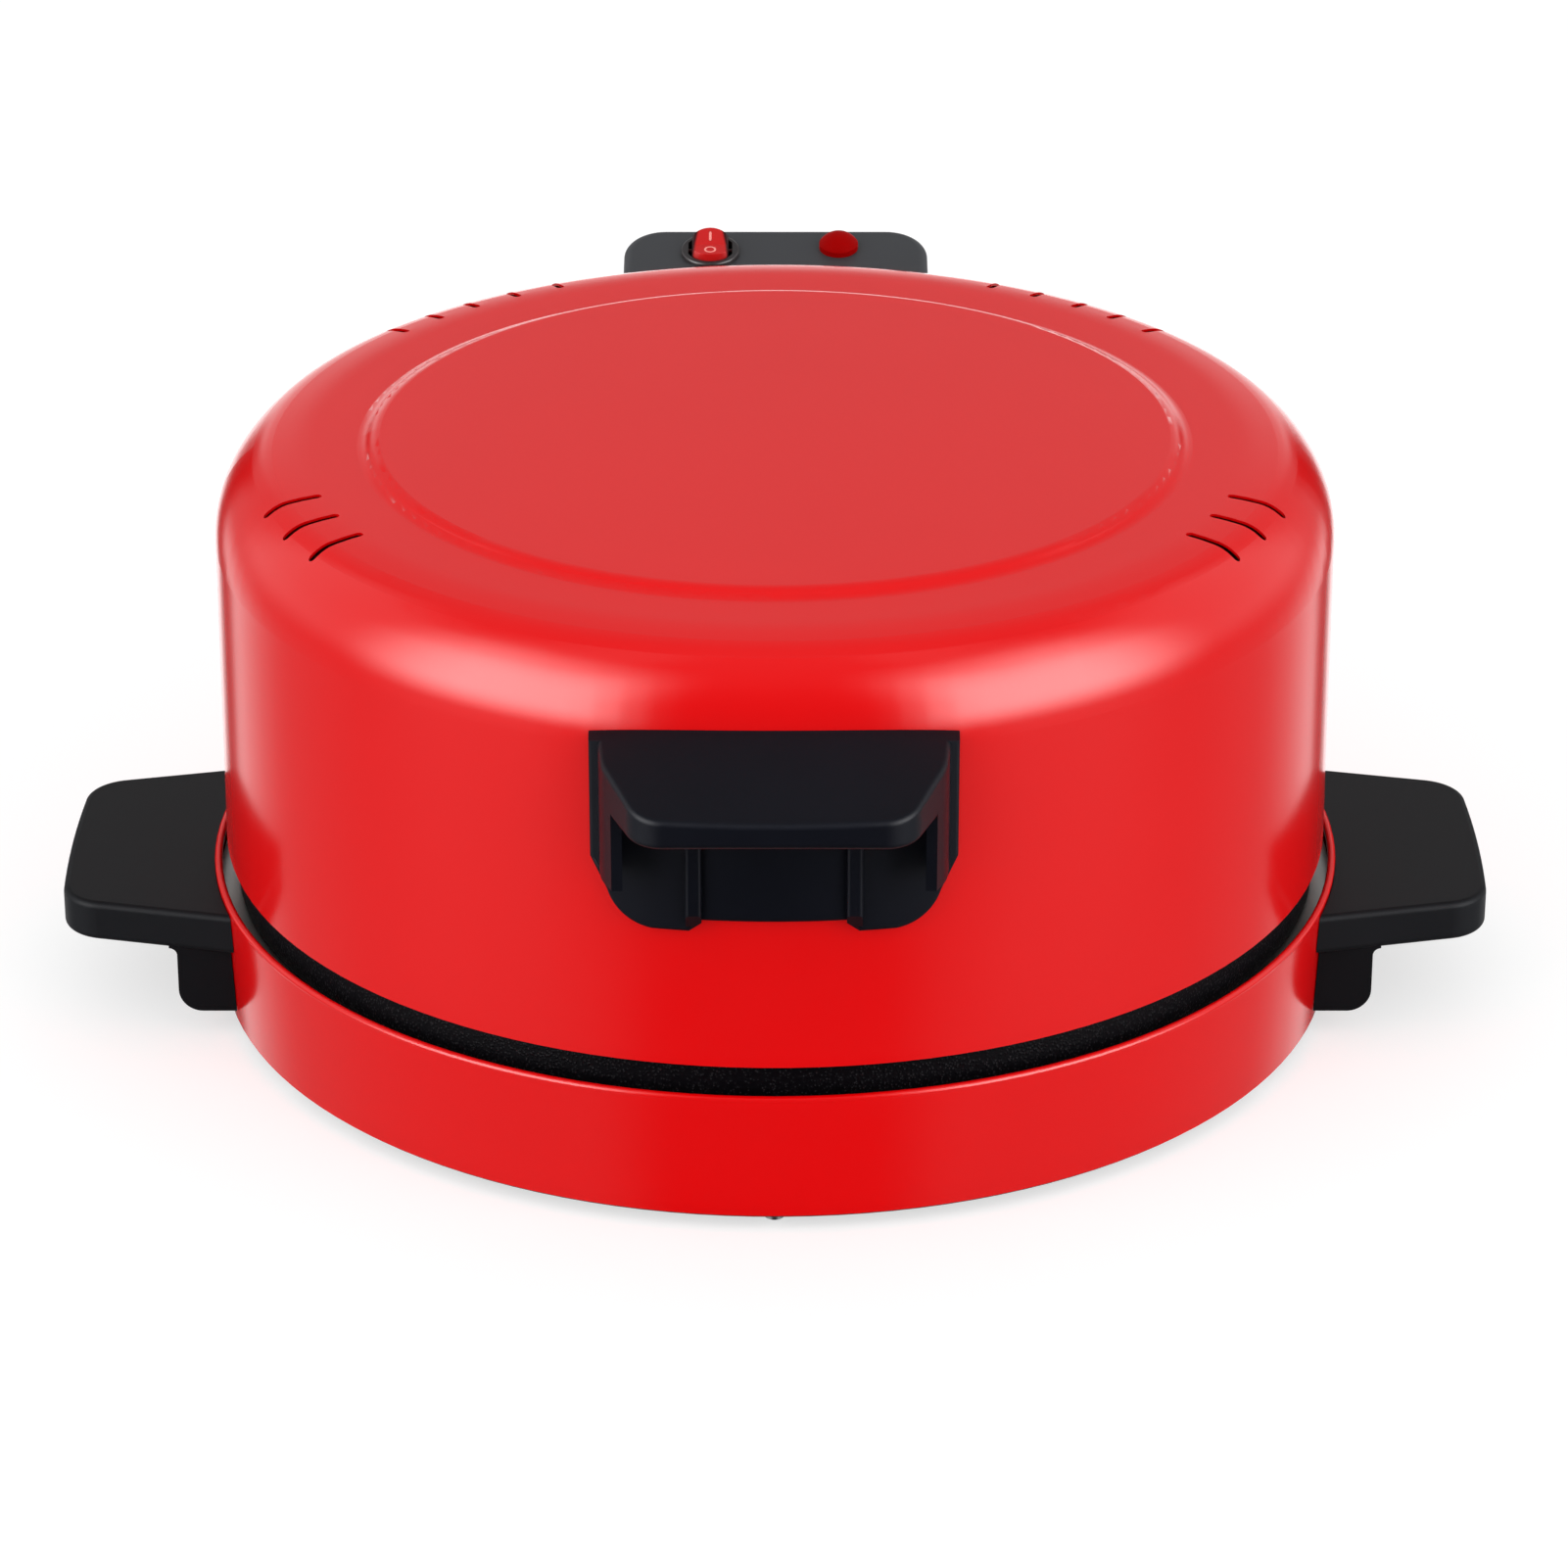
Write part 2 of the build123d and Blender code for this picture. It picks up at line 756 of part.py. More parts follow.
def lid_wall_radius(level):
    """Outer radius of the lid's side at a level above the table."""
    slope = (lid_top_radius - lid_radius) / (shoulder_level - lid_bottom)
    return lid_radius + slope * (level - lid_bottom)


def wall_places(angles, levels, inset=0):
    """Places on the lid's side, or inside it by an inset, with their X axis outwards."""
    return [
        at_angle(angle, lid_wall_radius(level) - inset, level) for angle in angles for level in levels
    ]


def grip_screw_places(inset=0):
    half_angle = degrees(grip_rib_offset / lid_radius)
    levels = [lid_bottom + height for height in grip_screw_heights]
    return wall_places((-90 - half_angle, -90 + half_angle), levels, inset)


def housing_screw_places(inset=0):
    angles = [90 + angle for angle in housing_screw_angles]
    levels = [housing_bottom + height for height in housing_screw_heights]
    return wall_places(angles, levels, inset)


def make_lid_liner():
    """Bright pan inside the lid, seated on the hem by its flange."""
    seat = lid_bottom + sheet
    liner = pan(liner_radius, seat, liner_top, liner_corner)
    liner -= pan(liner_radius - liner_sheet, seat, liner_top - liner_sheet, liner_corner - liner_sheet)
    edge = lid_radius - sheet - liner_side_gap
    liner += ring(liner_radius - liner_sheet, edge, seat, seat + liner_sheet)
    screw_hole = round_hole(screw_radius + seat_gap, 4 * liner_sheet)
    for angle in support_angles:
        liner -= at_angle(angle, spacer_circle, liner_top) * screw_hole
    leg_hole = round_hole(element_radius + leg_hole_gap, 4 * liner_sheet)
    for angle in leg_angles(upper_ring_radius):
        liner -= at_angle(angle, upper_ring_radius, liner_top) * leg_hole
    rivet_hole = round_hole(small_screw_radius + seat_gap, 4 * liner_sheet)
    for angle in clip_angles:
        liner -= at_angle(angle, upper_ring_radius + clip_tab, liner_top) * rivet_hole
    return liner


def make_liner_spacers():
    """Threaded posts between the liner's ceiling and the inside of the lid's raised disc."""
    height = liner_space
    post = Cylinder(spacer_radius, height, align=UP)
    post -= Cylinder(screw_radius + seat_gap, height / 2, align=UP)
    return group([at_angle(angle, spacer_circle, liner_top) * post for angle in support_angles])


def make_liner_screws():
    fastener = screw(liner_screw_length)
    level = liner_top - liner_sheet
    return group([at_angle(angle, spacer_circle, level) * fastener for angle in support_angles])


# Side handles
def make_side_handle():
    """Moulded wing with a leg that is screwed to the base wall, on the +X side."""
    top = base_top - wing_top_below_rim
    bottom = top - wing_thickness
    sides = Polyline(
        (wing_corner_reach, -wing_tip_half_width),
        (wing_root_radius, -wing_root_half_width),
        (wing_root_radius, wing_root_half_width),
        (wing_corner_reach, wing_tip_half_width),
    )
    tip = ThreePointArc(sides @ 1, (wing_reach, 0), sides @ 0)
    plan = make_face(sides + tip)
    plan = fillet(plan.vertices().group_by(Axis.X)[-1], wing_corner_radius)
    wing = Pos(0, 0, bottom) * extrude(plan, wing_thickness)
    outer_edges = wing.edges().filter_by(lambda edge: edge.center().X > wing_root_radius + margin)
    level_edges = outer_edges.filter_by(lambda edge: abs(edge.tangent_at(0.5).Z) < 0.5)
    wing = fillet(level_edges, wing_edge_radius)

    foot = base_bottom + leg_bottom_above_base
    corner = leg_corner_radius
    lower_bend = CenterArc((leg_reach - corner, foot + corner), corner, -90, 90)
    inner_centre = (leg_reach + leg_inner_corner, bottom - leg_inner_corner)
    inner_bend = CenterArc(inner_centre, leg_inner_corner, 90, 90)
    joint = bottom + wing_edge_radius
    bottom_line = Line((wing_root_radius, foot), lower_bend @ 0)
    outer_line = Line(lower_bend @ 1, inner_bend @ 1)
    closing = Polyline(
        inner_bend @ 0, (inner_centre[0], joint), (wing_root_radius, joint), (wing_root_radius, foot)
    )
    outline = make_face(bottom_line + lower_bend + outer_line + inner_bend + closing)
    leg = extrude(Plane.XZ * outline, leg_half_width, both=True)
    handle = wing + leg - base_cone(-skin_gap, base_bottom, base_top)
    pilot = outwards(round_hole(screw_radius + seat_gap, 2 * handle_screw_length))
    for angle in handle_screw_angles:
        handle -= at_angle(angle, base_foot_radius, handle_screw_height) * pilot
    return handle


def make_handle_screws():
    """Screws from inside the base wall into both side handles."""
    seat = base_radius(handle_screw_height) - sheet - skin_gap
    fastener = outwards(screw(handle_screw_length))
    angles = [side + angle for side in (0, 180) for angle in handle_screw_angles]
    return group([at_angle(angle, seat, handle_screw_height) * fastener for angle in angles])


# Front handle
def grip_top_level(reach):
    """Level of the sloping top of the front handle at a distance in front of the axis."""
    fall = grip_front_below_top / (grip_reach - grip_top_reach)
    return lid_bottom + grip_top_above_lid_edge - fall * (reach - grip_top_reach)


def grip_under_level(reach):
    """Level of the middle of the hood's underside at a distance in front of the axis."""
    return grip_top_level(grip_reach) - grip_lip + grip_under_rise * (grip_reach - reach)


def grip_plan():
    """Outline of the hood and its cheeks from above, with bent sides and a bowed front edge."""
    inner = grip_top_reach - 2 * shoulder_across
    front = grip_reach - grip_front_bow
    sides = Polyline(
        (-grip_front_half_width, -front),
        (-grip_bend_half_width, -grip_bend_reach),
        (-grip_side_half_width, -grip_side_reach),
        (-grip_side_half_width, -inner),
        (grip_side_half_width, -inner),
        (grip_side_half_width, -grip_side_reach),
        (grip_bend_half_width, -grip_bend_reach),
        (grip_front_half_width, -front),
    )
    bow = ThreePointArc(sides @ 1, (0, -grip_reach), sides @ 0)
    plan = make_face(sides + bow)
    plan = fillet(plan.vertices().group_by(Axis.Y)[0], grip_corner_radius)
    bends = plan.vertices().filter_by_position(Axis.Y, -grip_bend_reach - margin, -grip_bend_reach + margin)
    return fillet(bends, grip_bend_radius)


def arched(level_at, crown_at):
    """All that lies under an arched surface over the front handle, given its level and its crown."""
    half_width = grip_half_width + margin
    sections = []
    for reach in (grip_top_reach - shoulder_across, grip_reach + margin):
        top = level_at(reach)
        side = top - crown_at(reach)
        arch = ThreePointArc((half_width, side), (0, top), (-half_width, side))
        rest = Polyline(
            (-half_width, side), (-half_width, lid_bottom), (half_width, lid_bottom), (half_width, side)
        )
        sections.append(Plane.XZ.offset(reach) * make_face(arch + rest))
    return loft(sections, ruled=True)


def grip_crown(reach):
    """Height by which the middle of the handle's top stands above its sides."""
    share = (reach - grip_top_reach + shoulder_across) / (grip_depth + margin + grip_top_inset + shoulder_across)
    return grip_back_crown + share * (grip_front_crown - grip_back_crown)


def under_top():
    """All that lies under the crowned top of the front handle."""
    return arched(grip_top_level, grip_crown)


def grip_hood():
    """Hood of the front handle: a crowned, sloping top over an arched underside, with its edges rounded."""
    hood = under_top() - arched(grip_under_level, lambda reach: grip_under_crown)
    hood &= extrude(grip_plan(), lid_crown)
    broad_faces = [hood.faces().sort_by(Axis.Z)[-1], hood.faces().sort_by(Axis.Z)[0]]
    inner = grip_top_reach - shoulder_across
    rim = [edge for face in broad_faces for edge in face.edges() if edge.center().Y < -inner - margin]
    return fillet(rim, grip_edge_radius)


def grip_backing():
    """Backing plate of the front handle, with rounded front edges."""
    backing = disc(lid_radius + grip_plate_thickness, lid_bottom, lid_crown)
    backing &= extrude(Plane.XZ * grip_outline(), grip_reach)
    backing &= under_top()
    face = backing.faces().sort_by(Axis.Y)[0]
    return fillet([edge for edge in face.edges() if edge.center().Z < grip_side_top()], grip_plate_edge_radius)


def grip_side_top():
    """Level above which the backing plate's edge lies inside the hood."""
    return grip_top_level(grip_top_reach) - grip_back_crown


def grip_ribs():
    """Two ribs on the backing plate that run up under the hood."""
    flush = (lid_radius + grip_plate_thickness) * cos(grip_rib_offset / lid_radius)
    reach = flush + grip_rib_depth
    bottom = lid_bottom + grip_plate_bottom - grip_foot_drop
    top = grip_top_level(grip_reach)
    side = polygon(
        (0, bottom),
        (-flush + grip_rib_sink, bottom),
        (-reach, bottom + grip_rib_fade),
        (-reach, top),
        (0, top),
    )
    rib = across(side, grip_rib_width / 2)
    rib = fillet(rib.edges().filter_by(Axis.Z).group_by(Axis.Y)[0], grip_rib_edge_radius)
    outline = extrude(Plane.XZ * grip_outline(), grip_reach)
    return (Pos(-grip_rib_offset, 0, 0) * rib + Pos(grip_rib_offset, 0, 0) * rib) & outline


def grip_cheeks():
    """The two side walls that carry the hood."""
    wall = grip_plan() - offset(grip_plan(), -grip_cheek)
    top = grip_top_level(grip_reach)
    bottom = lid_bottom + grip_cheek_bottom
    walls = Pos(0, 0, bottom) * extrude(wall, top - bottom)
    return walls & across(polygon((0, 0), (-grip_cheek_reach, 0), (-grip_cheek_reach, top), (0, top)), lid_radius)


def grip_outline():
    """Outline of the handle's backing plate from the front."""
    bottom = lid_bottom + grip_plate_bottom
    foot = bottom - grip_foot_drop
    side_bottom = lid_bottom + grip_side_bottom
    corner_bottom = lid_bottom + grip_corner_bottom
    top = lid_bottom + grip_top_above_lid_edge
    half = Polyline(
        (0, bottom),
        (grip_foot_inner - grip_foot_drop, bottom),
        (grip_foot_inner, foot),
        (grip_foot_outer, foot),
    )
    bend = SagittaArc((grip_foot_outer, foot), (grip_corner_half_width, corner_bottom), -grip_corner_bulge)
    rest = Polyline(
        (grip_corner_half_width, corner_bottom),
        (grip_half_width, side_bottom),
        (grip_half_width, top),
        (0, top),
        (0, bottom),
    )
    right = make_face(half + bend + rest)
    return right + mirror(right, Plane.YZ)


def make_front_handle():
    """Black grip on the front of the lid: hood, two cheeks, ribs and backing plate."""
    handle = grip_hood() + grip_backing() + grip_ribs() + grip_cheeks()
    handle -= dome(-skin_gap)
    pilot = outwards(round_hole(screw_radius + seat_gap, 2 * grip_screw_length))
    for place in grip_screw_places():
        handle -= place * pilot
    return handle


def make_grip_screws():
    fastener = outwards(screw(grip_screw_length))
    return group([place * fastener for place in grip_screw_places(sheet + skin_gap)])


# Hinge
def make_hinge_bracket():
    """Moulded bracket on the back of the base: two ears, a cross beam and the lid's stop."""
    ear_inner = knuckle_half_width + knuckle_end_gap
    ear_outer = ear_inner + ear_thickness
    face_reach = hinge_reach - bracket_face_below_axis
    wall_reach = base_foot_radius - ear_thickness
    bottom = hinge_level - bracket_bottom_below_axis
    top = hinge_level - bracket_top_below_axis
    block = polygon((wall_reach, bottom), (face_reach, bottom), (face_reach, top), (wall_reach, top))
    stop_top = hinge_level - stop_below_axis
    stop = polygon(
        (wall_reach, stop_top - 3 * stop_thickness),
        (face_reach, stop_top - 3 * stop_thickness),
        (hinge_reach + stop_reach, stop_top - stop_thickness),
        (hinge_reach + stop_reach, stop_top),
        (wall_reach, stop_top),
    )
    eye = Pos(hinge_reach, hinge_level) * Circle(ear_radius)
    ear = make_hull((eye + block).edges())
    ears = across(ear, ear_outer) - Box(2 * ear_inner, 4 * hinge_reach, 4 * hinge_level)
    bracket = across(block, ear_outer) + across(stop, ear_outer) + ears
    bracket -= base_cone(-skin_gap, 0, base_top)
    bore = Rot(Y=90) * Cylinder(pin_radius + seat_gap, 4 * ear_outer)
    bracket -= Pos(0, hinge_reach, hinge_level) * bore
    pilot = outwards(round_hole(screw_radius + seat_gap, 2 * bracket_screw_length))
    for angle in bracket_screw_angles:
        bracket -= at_angle(90 + angle, base_foot_radius, bracket_screw_height) * pilot
    return bracket


def make_bracket_screws():
    seat = base_radius(bracket_screw_height) - sheet - skin_gap
    fastener = outwards(screw(bracket_screw_length))
    places = [at_angle(90 + angle, seat, bracket_screw_height) for angle in bracket_screw_angles]
    return group([place * fastener for place in places])


def clip_place():
    """Distance of the retaining clips from the middle plane."""
    return knuckle_half_width + knuckle_end_gap + ear_thickness + seat_gap + clip_thickness / 2


def make_hinge_pin():
    """Steel pin through both ears and the knuckle, grooved for its clips."""
    half_length = knuckle_half_width + knuckle_end_gap + ear_thickness + pin_overhang
    pin = Rot(Y=90) * Cylinder(pin_radius, 2 * half_length)
    groove = Cylinder(2 * pin_radius, clip_thickness)
    groove -= Cylinder(pin_radius - pin_groove_depth, clip_thickness)
    for side in (-1, 1):
        pin -= Pos(side * clip_place(), 0, 0) * Rot(Y=90) * groove
    ends = pin.faces().sort_by(Axis.X)
    pin = chamfer(ends[0].edges() + ends[-1].edges(), pin_chamfer)
    return Pos(0, hinge_reach, hinge_level) * pin


def make_pin_clips():
    """Open retaining rings in the grooves of the hinge pin."""
    face = Circle(clip_ring_radius) - Circle(pin_radius - pin_groove_depth + seat_gap)
    opening = 2 * (pin_radius - pin_groove_depth)
    face -= Pos(0, -clip_ring_radius) * Rectangle(opening, 2 * clip_ring_radius)
    clip = Rot(Y=90) * extrude(face, clip_thickness / 2 - seat_gap, both=True)
    return group(
        [Pos(side * clip_place(), hinge_reach, hinge_level) * clip for side in (-1, 1)]
    )


# Rear housing
def panel_level(reach):
    """Level of the tilted top panel at a distance behind the axis."""
    return housing_top - (panel_back() - reach) * tan(radians(housing_panel_tilt))


def panel_back():
    return housing_reach - housing_top_edge_radius


def on_panel(offset, setback):
    """A place on the tilted panel, with its own Z axis square to the panel."""
    reach = panel_back() - setback * cos(radians(housing_panel_tilt))
    return Pos(offset, reach, panel_level(reach)) * Rot(X=housing_panel_tilt)


def housing_form(inset):
    """The filled form of the rear housing, drawn inwards by an inset."""
    front = lid_radius - 2 * shoulder_across
    back = housing_reach - inset
    half_width = housing_half_width - inset
    corner = housing_corner_radius - inset
    plan = polygon((-half_width, front), (-half_width, back), (half_width, back), (half_width, front))
    plan = fillet(plan.vertices().group_by(Axis.Y)[-1], corner)
    column = extrude(plan, 2 * housing_top)
    fall = inset / cos(radians(housing_panel_tilt))
    side = polygon(
        (front, housing_bottom + inset),
        (back, housing_bottom + inset),
        (back, panel_level(back) - fall),
        (front, panel_level(front) - fall),
    )
    return across(side, half_width) & column


def make_rear_housing():
    """Moulded housing on the back of the lid, with the hinge knuckle under it."""
    outer = housing_form(0)
    top_edges = outer.faces().sort_by(Axis.Z)[-1].edges()
    top_edges = top_edges.filter_by(lambda edge: edge.center().Y > lid_radius)
    outer = fillet(top_edges, housing_top_edge_radius)
    bosses = Part()
    for place in housing_screw_places():
        bosses += place * outwards(Cylinder(housing_boss_radius, housing_reach, align=UP))
    for place in door_screw_places():
        bosses += place * Rot(X=90) * Cylinder(door_boss_radius, door_screw_length + housing_wall, align=UP)
    housing = outer - housing_form(housing_wall) + (bosses & outer)
    web = across(
        polygon(
            (hinge_reach - knuckle_radius, hinge_level),
            (hinge_reach + knuckle_radius, hinge_level),
            (hinge_reach + knuckle_radius, housing_bottom + housing_wall),
            (hinge_reach - knuckle_radius, housing_bottom + housing_wall),
        ),
        knuckle_half_width,
    )
    knuckle = Pos(0, hinge_reach, hinge_level) * Rot(Y=90) * Cylinder(knuckle_radius, 2 * knuckle_half_width)
    housing += web + knuckle
    housing -= Pos(0, hinge_reach, hinge_level) * Rot(Y=90) * Cylinder(
        pin_radius + running_gap, 4 * knuckle_half_width
    )
    housing -= dome(-skin_gap)
    housing -= switch_place() * round_hole(switch_barrel_radius + seat_gap, 2 * switch_barrel_depth)
    housing -= lamp_place() * round_hole(lamp_barrel_radius + seat_gap, 2 * lamp_barrel_depth)
    housing -= door_form(door_lip, 4 * housing_wall)
    housing -= door_form(0, door_thickness)
    drill = outwards(round_hole(screw_radius + seat_gap, 2 * housing_screw_length))
    for place in housing_screw_places():
        housing -= place * drill
    pilot = round_hole(small_screw_radius + seat_gap, 2 * door_screw_length)
    for place in door_screw_places():
        housing -= place * Rot(X=90) * pilot
    return housing


def door_form(inset, depth):
    """The rebate or opening for the service cover, cut into the back by a depth."""
    half_width = door_half_width - inset
    bottom = housing_bottom + door_bottom_above_housing + inset
    top = housing_bottom + door_top_above_housing - inset
    block = Box(2 * half_width, depth, top - bottom, align=(Align.CENTER, Align.MAX, Align.MIN))
    return Pos(0, housing_reach, bottom) * block


def door_screw_places():
    """Places of the service cover's four screws, on the floor of its rebate."""
    side = door_half_width - door_lip / 2
    low = housing_bottom + door_bottom_above_housing + door_lip / 2
    high = housing_bottom + door_top_above_housing - door_lip / 2
    reach = housing_reach - door_thickness
    return [Pos(x, reach, z) for x in (-side, side) for z in (low, high)]


def make_service_cover():
    """Flat cover over the opening in the back of the rear housing."""
    cover = door_form(door_gap, door_thickness)
    for place in door_screw_places():
        cover -= place * Rot(X=90) * round_hole(small_screw_radius + seat_gap, 8 * door_thickness)
    return cover


def make_service_cover_screws():
    fastener = Rot(X=90) * small_screw(door_screw_length)
    return group([Pos(0, door_thickness, 0) * place * fastener for place in door_screw_places()])


def make_housing_screws():
    fastener = outwards(screw(housing_screw_length))
    return group([place * fastener for place in housing_screw_places(sheet + skin_gap)])


# Switch, with its own Z axis square to the panel and its bezel face above it
def switch_place():
    return on_panel(switch_offset, switch_setback)


def pivot_place():
    return switch_place() * Pos(0, 0, bezel_height - pivot_below_face)


def make_switch_body():
    """Round bezel and barrel with a well for the rocker and two bearing holes."""
    bezel = Cylinder(bezel_radius, bezel_height, align=UP)
    bezel = fillet(bezel.edges().sort_by(Axis.Z)[-1], bezel_height / 2)
    body = bezel + Cylinder(switch_barrel_radius, switch_barrel_depth, align=DOWN)
    well = Cylinder(well_radius, switch_barrel_depth + bezel_height - switch_floor, align=DOWN)
    well &= Box(2 * well_half_width, 4 * well_radius, 4 * switch_barrel_depth)
    body -= Pos(0, 0, bezel_height) * well
    bearing = Rot(Y=90) * Cylinder(pivot_radius + running_gap, 2 * pivot_half_length + 2 * rest_gap)
    body -= Pos(0, 0, bezel_height - pivot_below_face) * bearing
    for side in (-1, 1):
        slot = Box(blade_width + seat_gap, blade_thickness + seat_gap, 4 * switch_floor)
        body -= Pos(0, side * blade_spacing, -switch_barrel_depth) * slot
    return switch_place() * body


def make_switch_terminals():
    """Blades that come out of the barrel's floor."""
    blade = Box(blade_width, blade_thickness, switch_floor + blade_length, align=UP)
    blades = [
        Pos(0, side * blade_spacing, -switch_barrel_depth - blade_length) * blade for side in (-1, 1)
    ]
    return group([switch_place() * blade for blade in blades])


def make_rocker():
    """Red rocker with two facets, bevelled sides and marks, drawn with its front end pressed."""
    half_throw = rocker_throw / 2
    ball = Sphere(rocker_radius)
    rise = rocker_radius * tan(radians(rocker_facet_angle))
    side = polygon(
        (-rocker_radius, -rocker_underside),
        (rocker_radius, -rocker_underside),
        (rocker_radius, rocker_valley + rise),
        (0, rocker_valley),
        (-rocker_radius, rocker_valley + rise),
    )
    button = ball & across(side, rocker_half_width)
    peak = rocker_side_height + rocker_half_width * tan(radians(rocker_bevel_angle))
    end = polygon(
        (-rocker_half_width, -rocker_underside),
        (rocker_half_width, -rocker_underside),
        (rocker_half_width, rocker_side_height),
        (0, peak),
        (-rocker_half_width, rocker_side_height),
    )
    button &= extrude(Plane.XZ * end, rocker_radius, both=True)
    lift = rocker_valley + mark_offset * tan(radians(rocker_facet_angle))
    on_bar = Box(on_mark_width, on_mark_length, 2 * mark_depth)
    on_mark = Pos(0, mark_offset, lift) * Rot(X=rocker_facet_angle) * on_bar
    off_ring = Cylinder(off_mark_outer, 2 * mark_depth) - Cylinder(off_mark_inner, 2 * mark_depth)
    off_mark = Pos(0, -mark_offset, lift) * Rot(X=-rocker_facet_angle) * off_ring
    button = button - on_mark - off_mark
    button += Rot(Y=90) * Cylinder(pivot_radius, 2 * pivot_half_length)
    return pivot_place() * Rot(X=half_throw) * button


# Pilot lamp
def lamp_place():
    return on_panel(lamp_offset, lamp_setback)


def make_lamp_lens():
    """Red domed lens that sits on the panel."""
    radius = (lens_radius**2 + lens_dome**2) / (2 * lens_dome)
    cap = Pos(0, 0, lens_flange + lens_dome - radius) * Sphere(radius)
    cap &= Pos(0, 0, lens_flange) * Cylinder(lens_radius, lens_dome, align=UP)
    lens = cap + Cylinder(lens_radius, lens_flange, align=UP)
    return lamp_place() * Pos(0, 0, seat_gap) * lens


def make_lamp_body():
    """Barrel behind the lens that holds the glow lamp."""
    barrel = Cylinder(lamp_barrel_radius, lamp_barrel_depth, align=DOWN)
    barrel -= Cylinder(lamp_barrel_radius - lamp_wall, lamp_barrel_depth - lamp_wall, align=DOWN)
    return lamp_place() * barrel


def make_lamp_nut():
    """Nut that clamps the barrel from inside the housing."""
    level = -housing_wall - seat_gap
    nut = RegularPolygon(lamp_nut_radius, 6) - Circle(lamp_barrel_radius + seat_gap)
    return lamp_place() * Pos(0, 0, level - lamp_nut_height) * extrude(nut, lamp_nut_height)


def make_neon_lamp():
    """Small glass glow lamp that stands on the barrel's floor."""
    floor = -lamp_barrel_depth + lamp_wall
    glass = Cylinder(neon_radius, neon_length, align=UP)
    glass = fillet(glass.edges().sort_by(Axis.Z)[-1], neon_tip_radius)
    return lamp_place() * Pos(0, 0, floor) * glass


# Wiring fittings
def make_cable_gland():
    """Bush for the mains lead through the base wall, with a flange on both sides."""
    low = gland_height - gland_flange_radius
    high = gland_height + gland_flange_radius
    wall = base_radius(gland_height)
    flange = Cylinder(gland_flange_radius, gland_outer_reach + gland_inner_reach + 4 * sheet)
    middle = wall - sheet / 2 + (gland_outer_reach - gland_inner_reach) / 2
    outer = at_angle(gland_angle, middle, gland_height) * outwards(flange)
    skin = base_cone(-skin_gap, low, high) - base_cone(sheet + skin_gap, low, high)
    body = Cylinder(gland_body_radius, gland_outer_reach + gland_inner_reach + 4 * sheet)
    gland = outer - skin + at_angle(gland_angle, middle, gland_height) * outwards(body)
    bore = outwards(round_hole(gland_bore, 8 * gland_outer_reach))
    return gland - at_angle(gland_angle, middle, gland_height) * bore


def make_terminal_block():
    """Ceramic block on the base's floor where the mains lead is joined to the oven's wiring."""
    length, width, height = terminal_block_size
    spot_x, spot_y = terminal_block_spot
    block = Box(length, width, height, align=UP)
    for place in block_hole_places():
        block -= place * round_hole(block_hole_radius, 2 * width)
    block -= round_hole(screw_radius + seat_gap, 2 * block_screw_length)
    return Pos(spot_x, spot_y, base_bottom) * block


def block_hole_places():
    """Places of the holes in the terminal block, with their own Z axis across it."""
    length, width, height = terminal_block_size
    pitch = length / block_hole_count
    steps = [step - (block_hole_count - 1) / 2 for step in range(block_hole_count)]
    return [Pos(step * pitch, 0, height * block_hole_level_share) * Rot(X=90) for step in steps]


def make_block_clamps():
    """Brass sleeves in the terminal block."""
    length, width, height = terminal_block_size
    spot_x, spot_y = terminal_block_spot
    sleeve = Cylinder(block_hole_radius - seat_gap, width) - Cylinder(clamp_bore, width)
    spot = Pos(spot_x, spot_y, base_bottom)
    return group([spot * place * sleeve for place in block_hole_places()])


def make_block_screw():
    spot_x, spot_y = terminal_block_spot
    return Pos(spot_x, spot_y, foot_height) * screw(block_screw_length)


def make_thermostat():
    """Bimetal thermostat with a mounting tab and two blades, with its tab at the origin."""
    tab = Box(2 * tab_half_length, thermostat_radius, tab_thickness, align=UP)
    body = Cylinder(thermostat_radius, thermostat_height, align=UP)
    stat = tab + body
    for side in (-1, 1):
        blade = Box(blade_width, blade_thickness, blade_length, align=UP)
        stat += Pos(0, side * thermostat_radius / 2, thermostat_height) * blade
    return stat


def make_plate_thermostat():
    spot_x, spot_y = thermostat_spot
    return Pos(spot_x, -spot_y, plate_under - seat_gap) * Rot(X=180) * make_thermostat()


def make_lid_thermostat():
    spot_x, spot_y = thermostat_spot
    return Pos(spot_x, spot_y, liner_top + seat_gap) * make_thermostat()


def make_thermal_fuse():
    """Thermal fuse in a clip on the liner's ceiling."""
    spot_x, spot_y = fuse_spot
    fuse = Pos(0, 0, fuse_radius + tab_thickness / 2) * Rot(Y=90) * Cylinder(fuse_radius, fuse_length)
    strap = Box(fuse_length / 2, 4 * fuse_radius, tab_thickness, align=UP)
    return Pos(spot_x, spot_y, liner_top + seat_gap) * (fuse + strap)


# Leads
def lead(points, bend=lead_bend):
    """Sleeved wire along straight runs joined by round bends."""
    path = FilletPolyline(*points, radius=bend)
    section = Plane(origin=path @ 0, z_dir=path % 0) * Circle(lead_radius)
    return sweep(section, path)


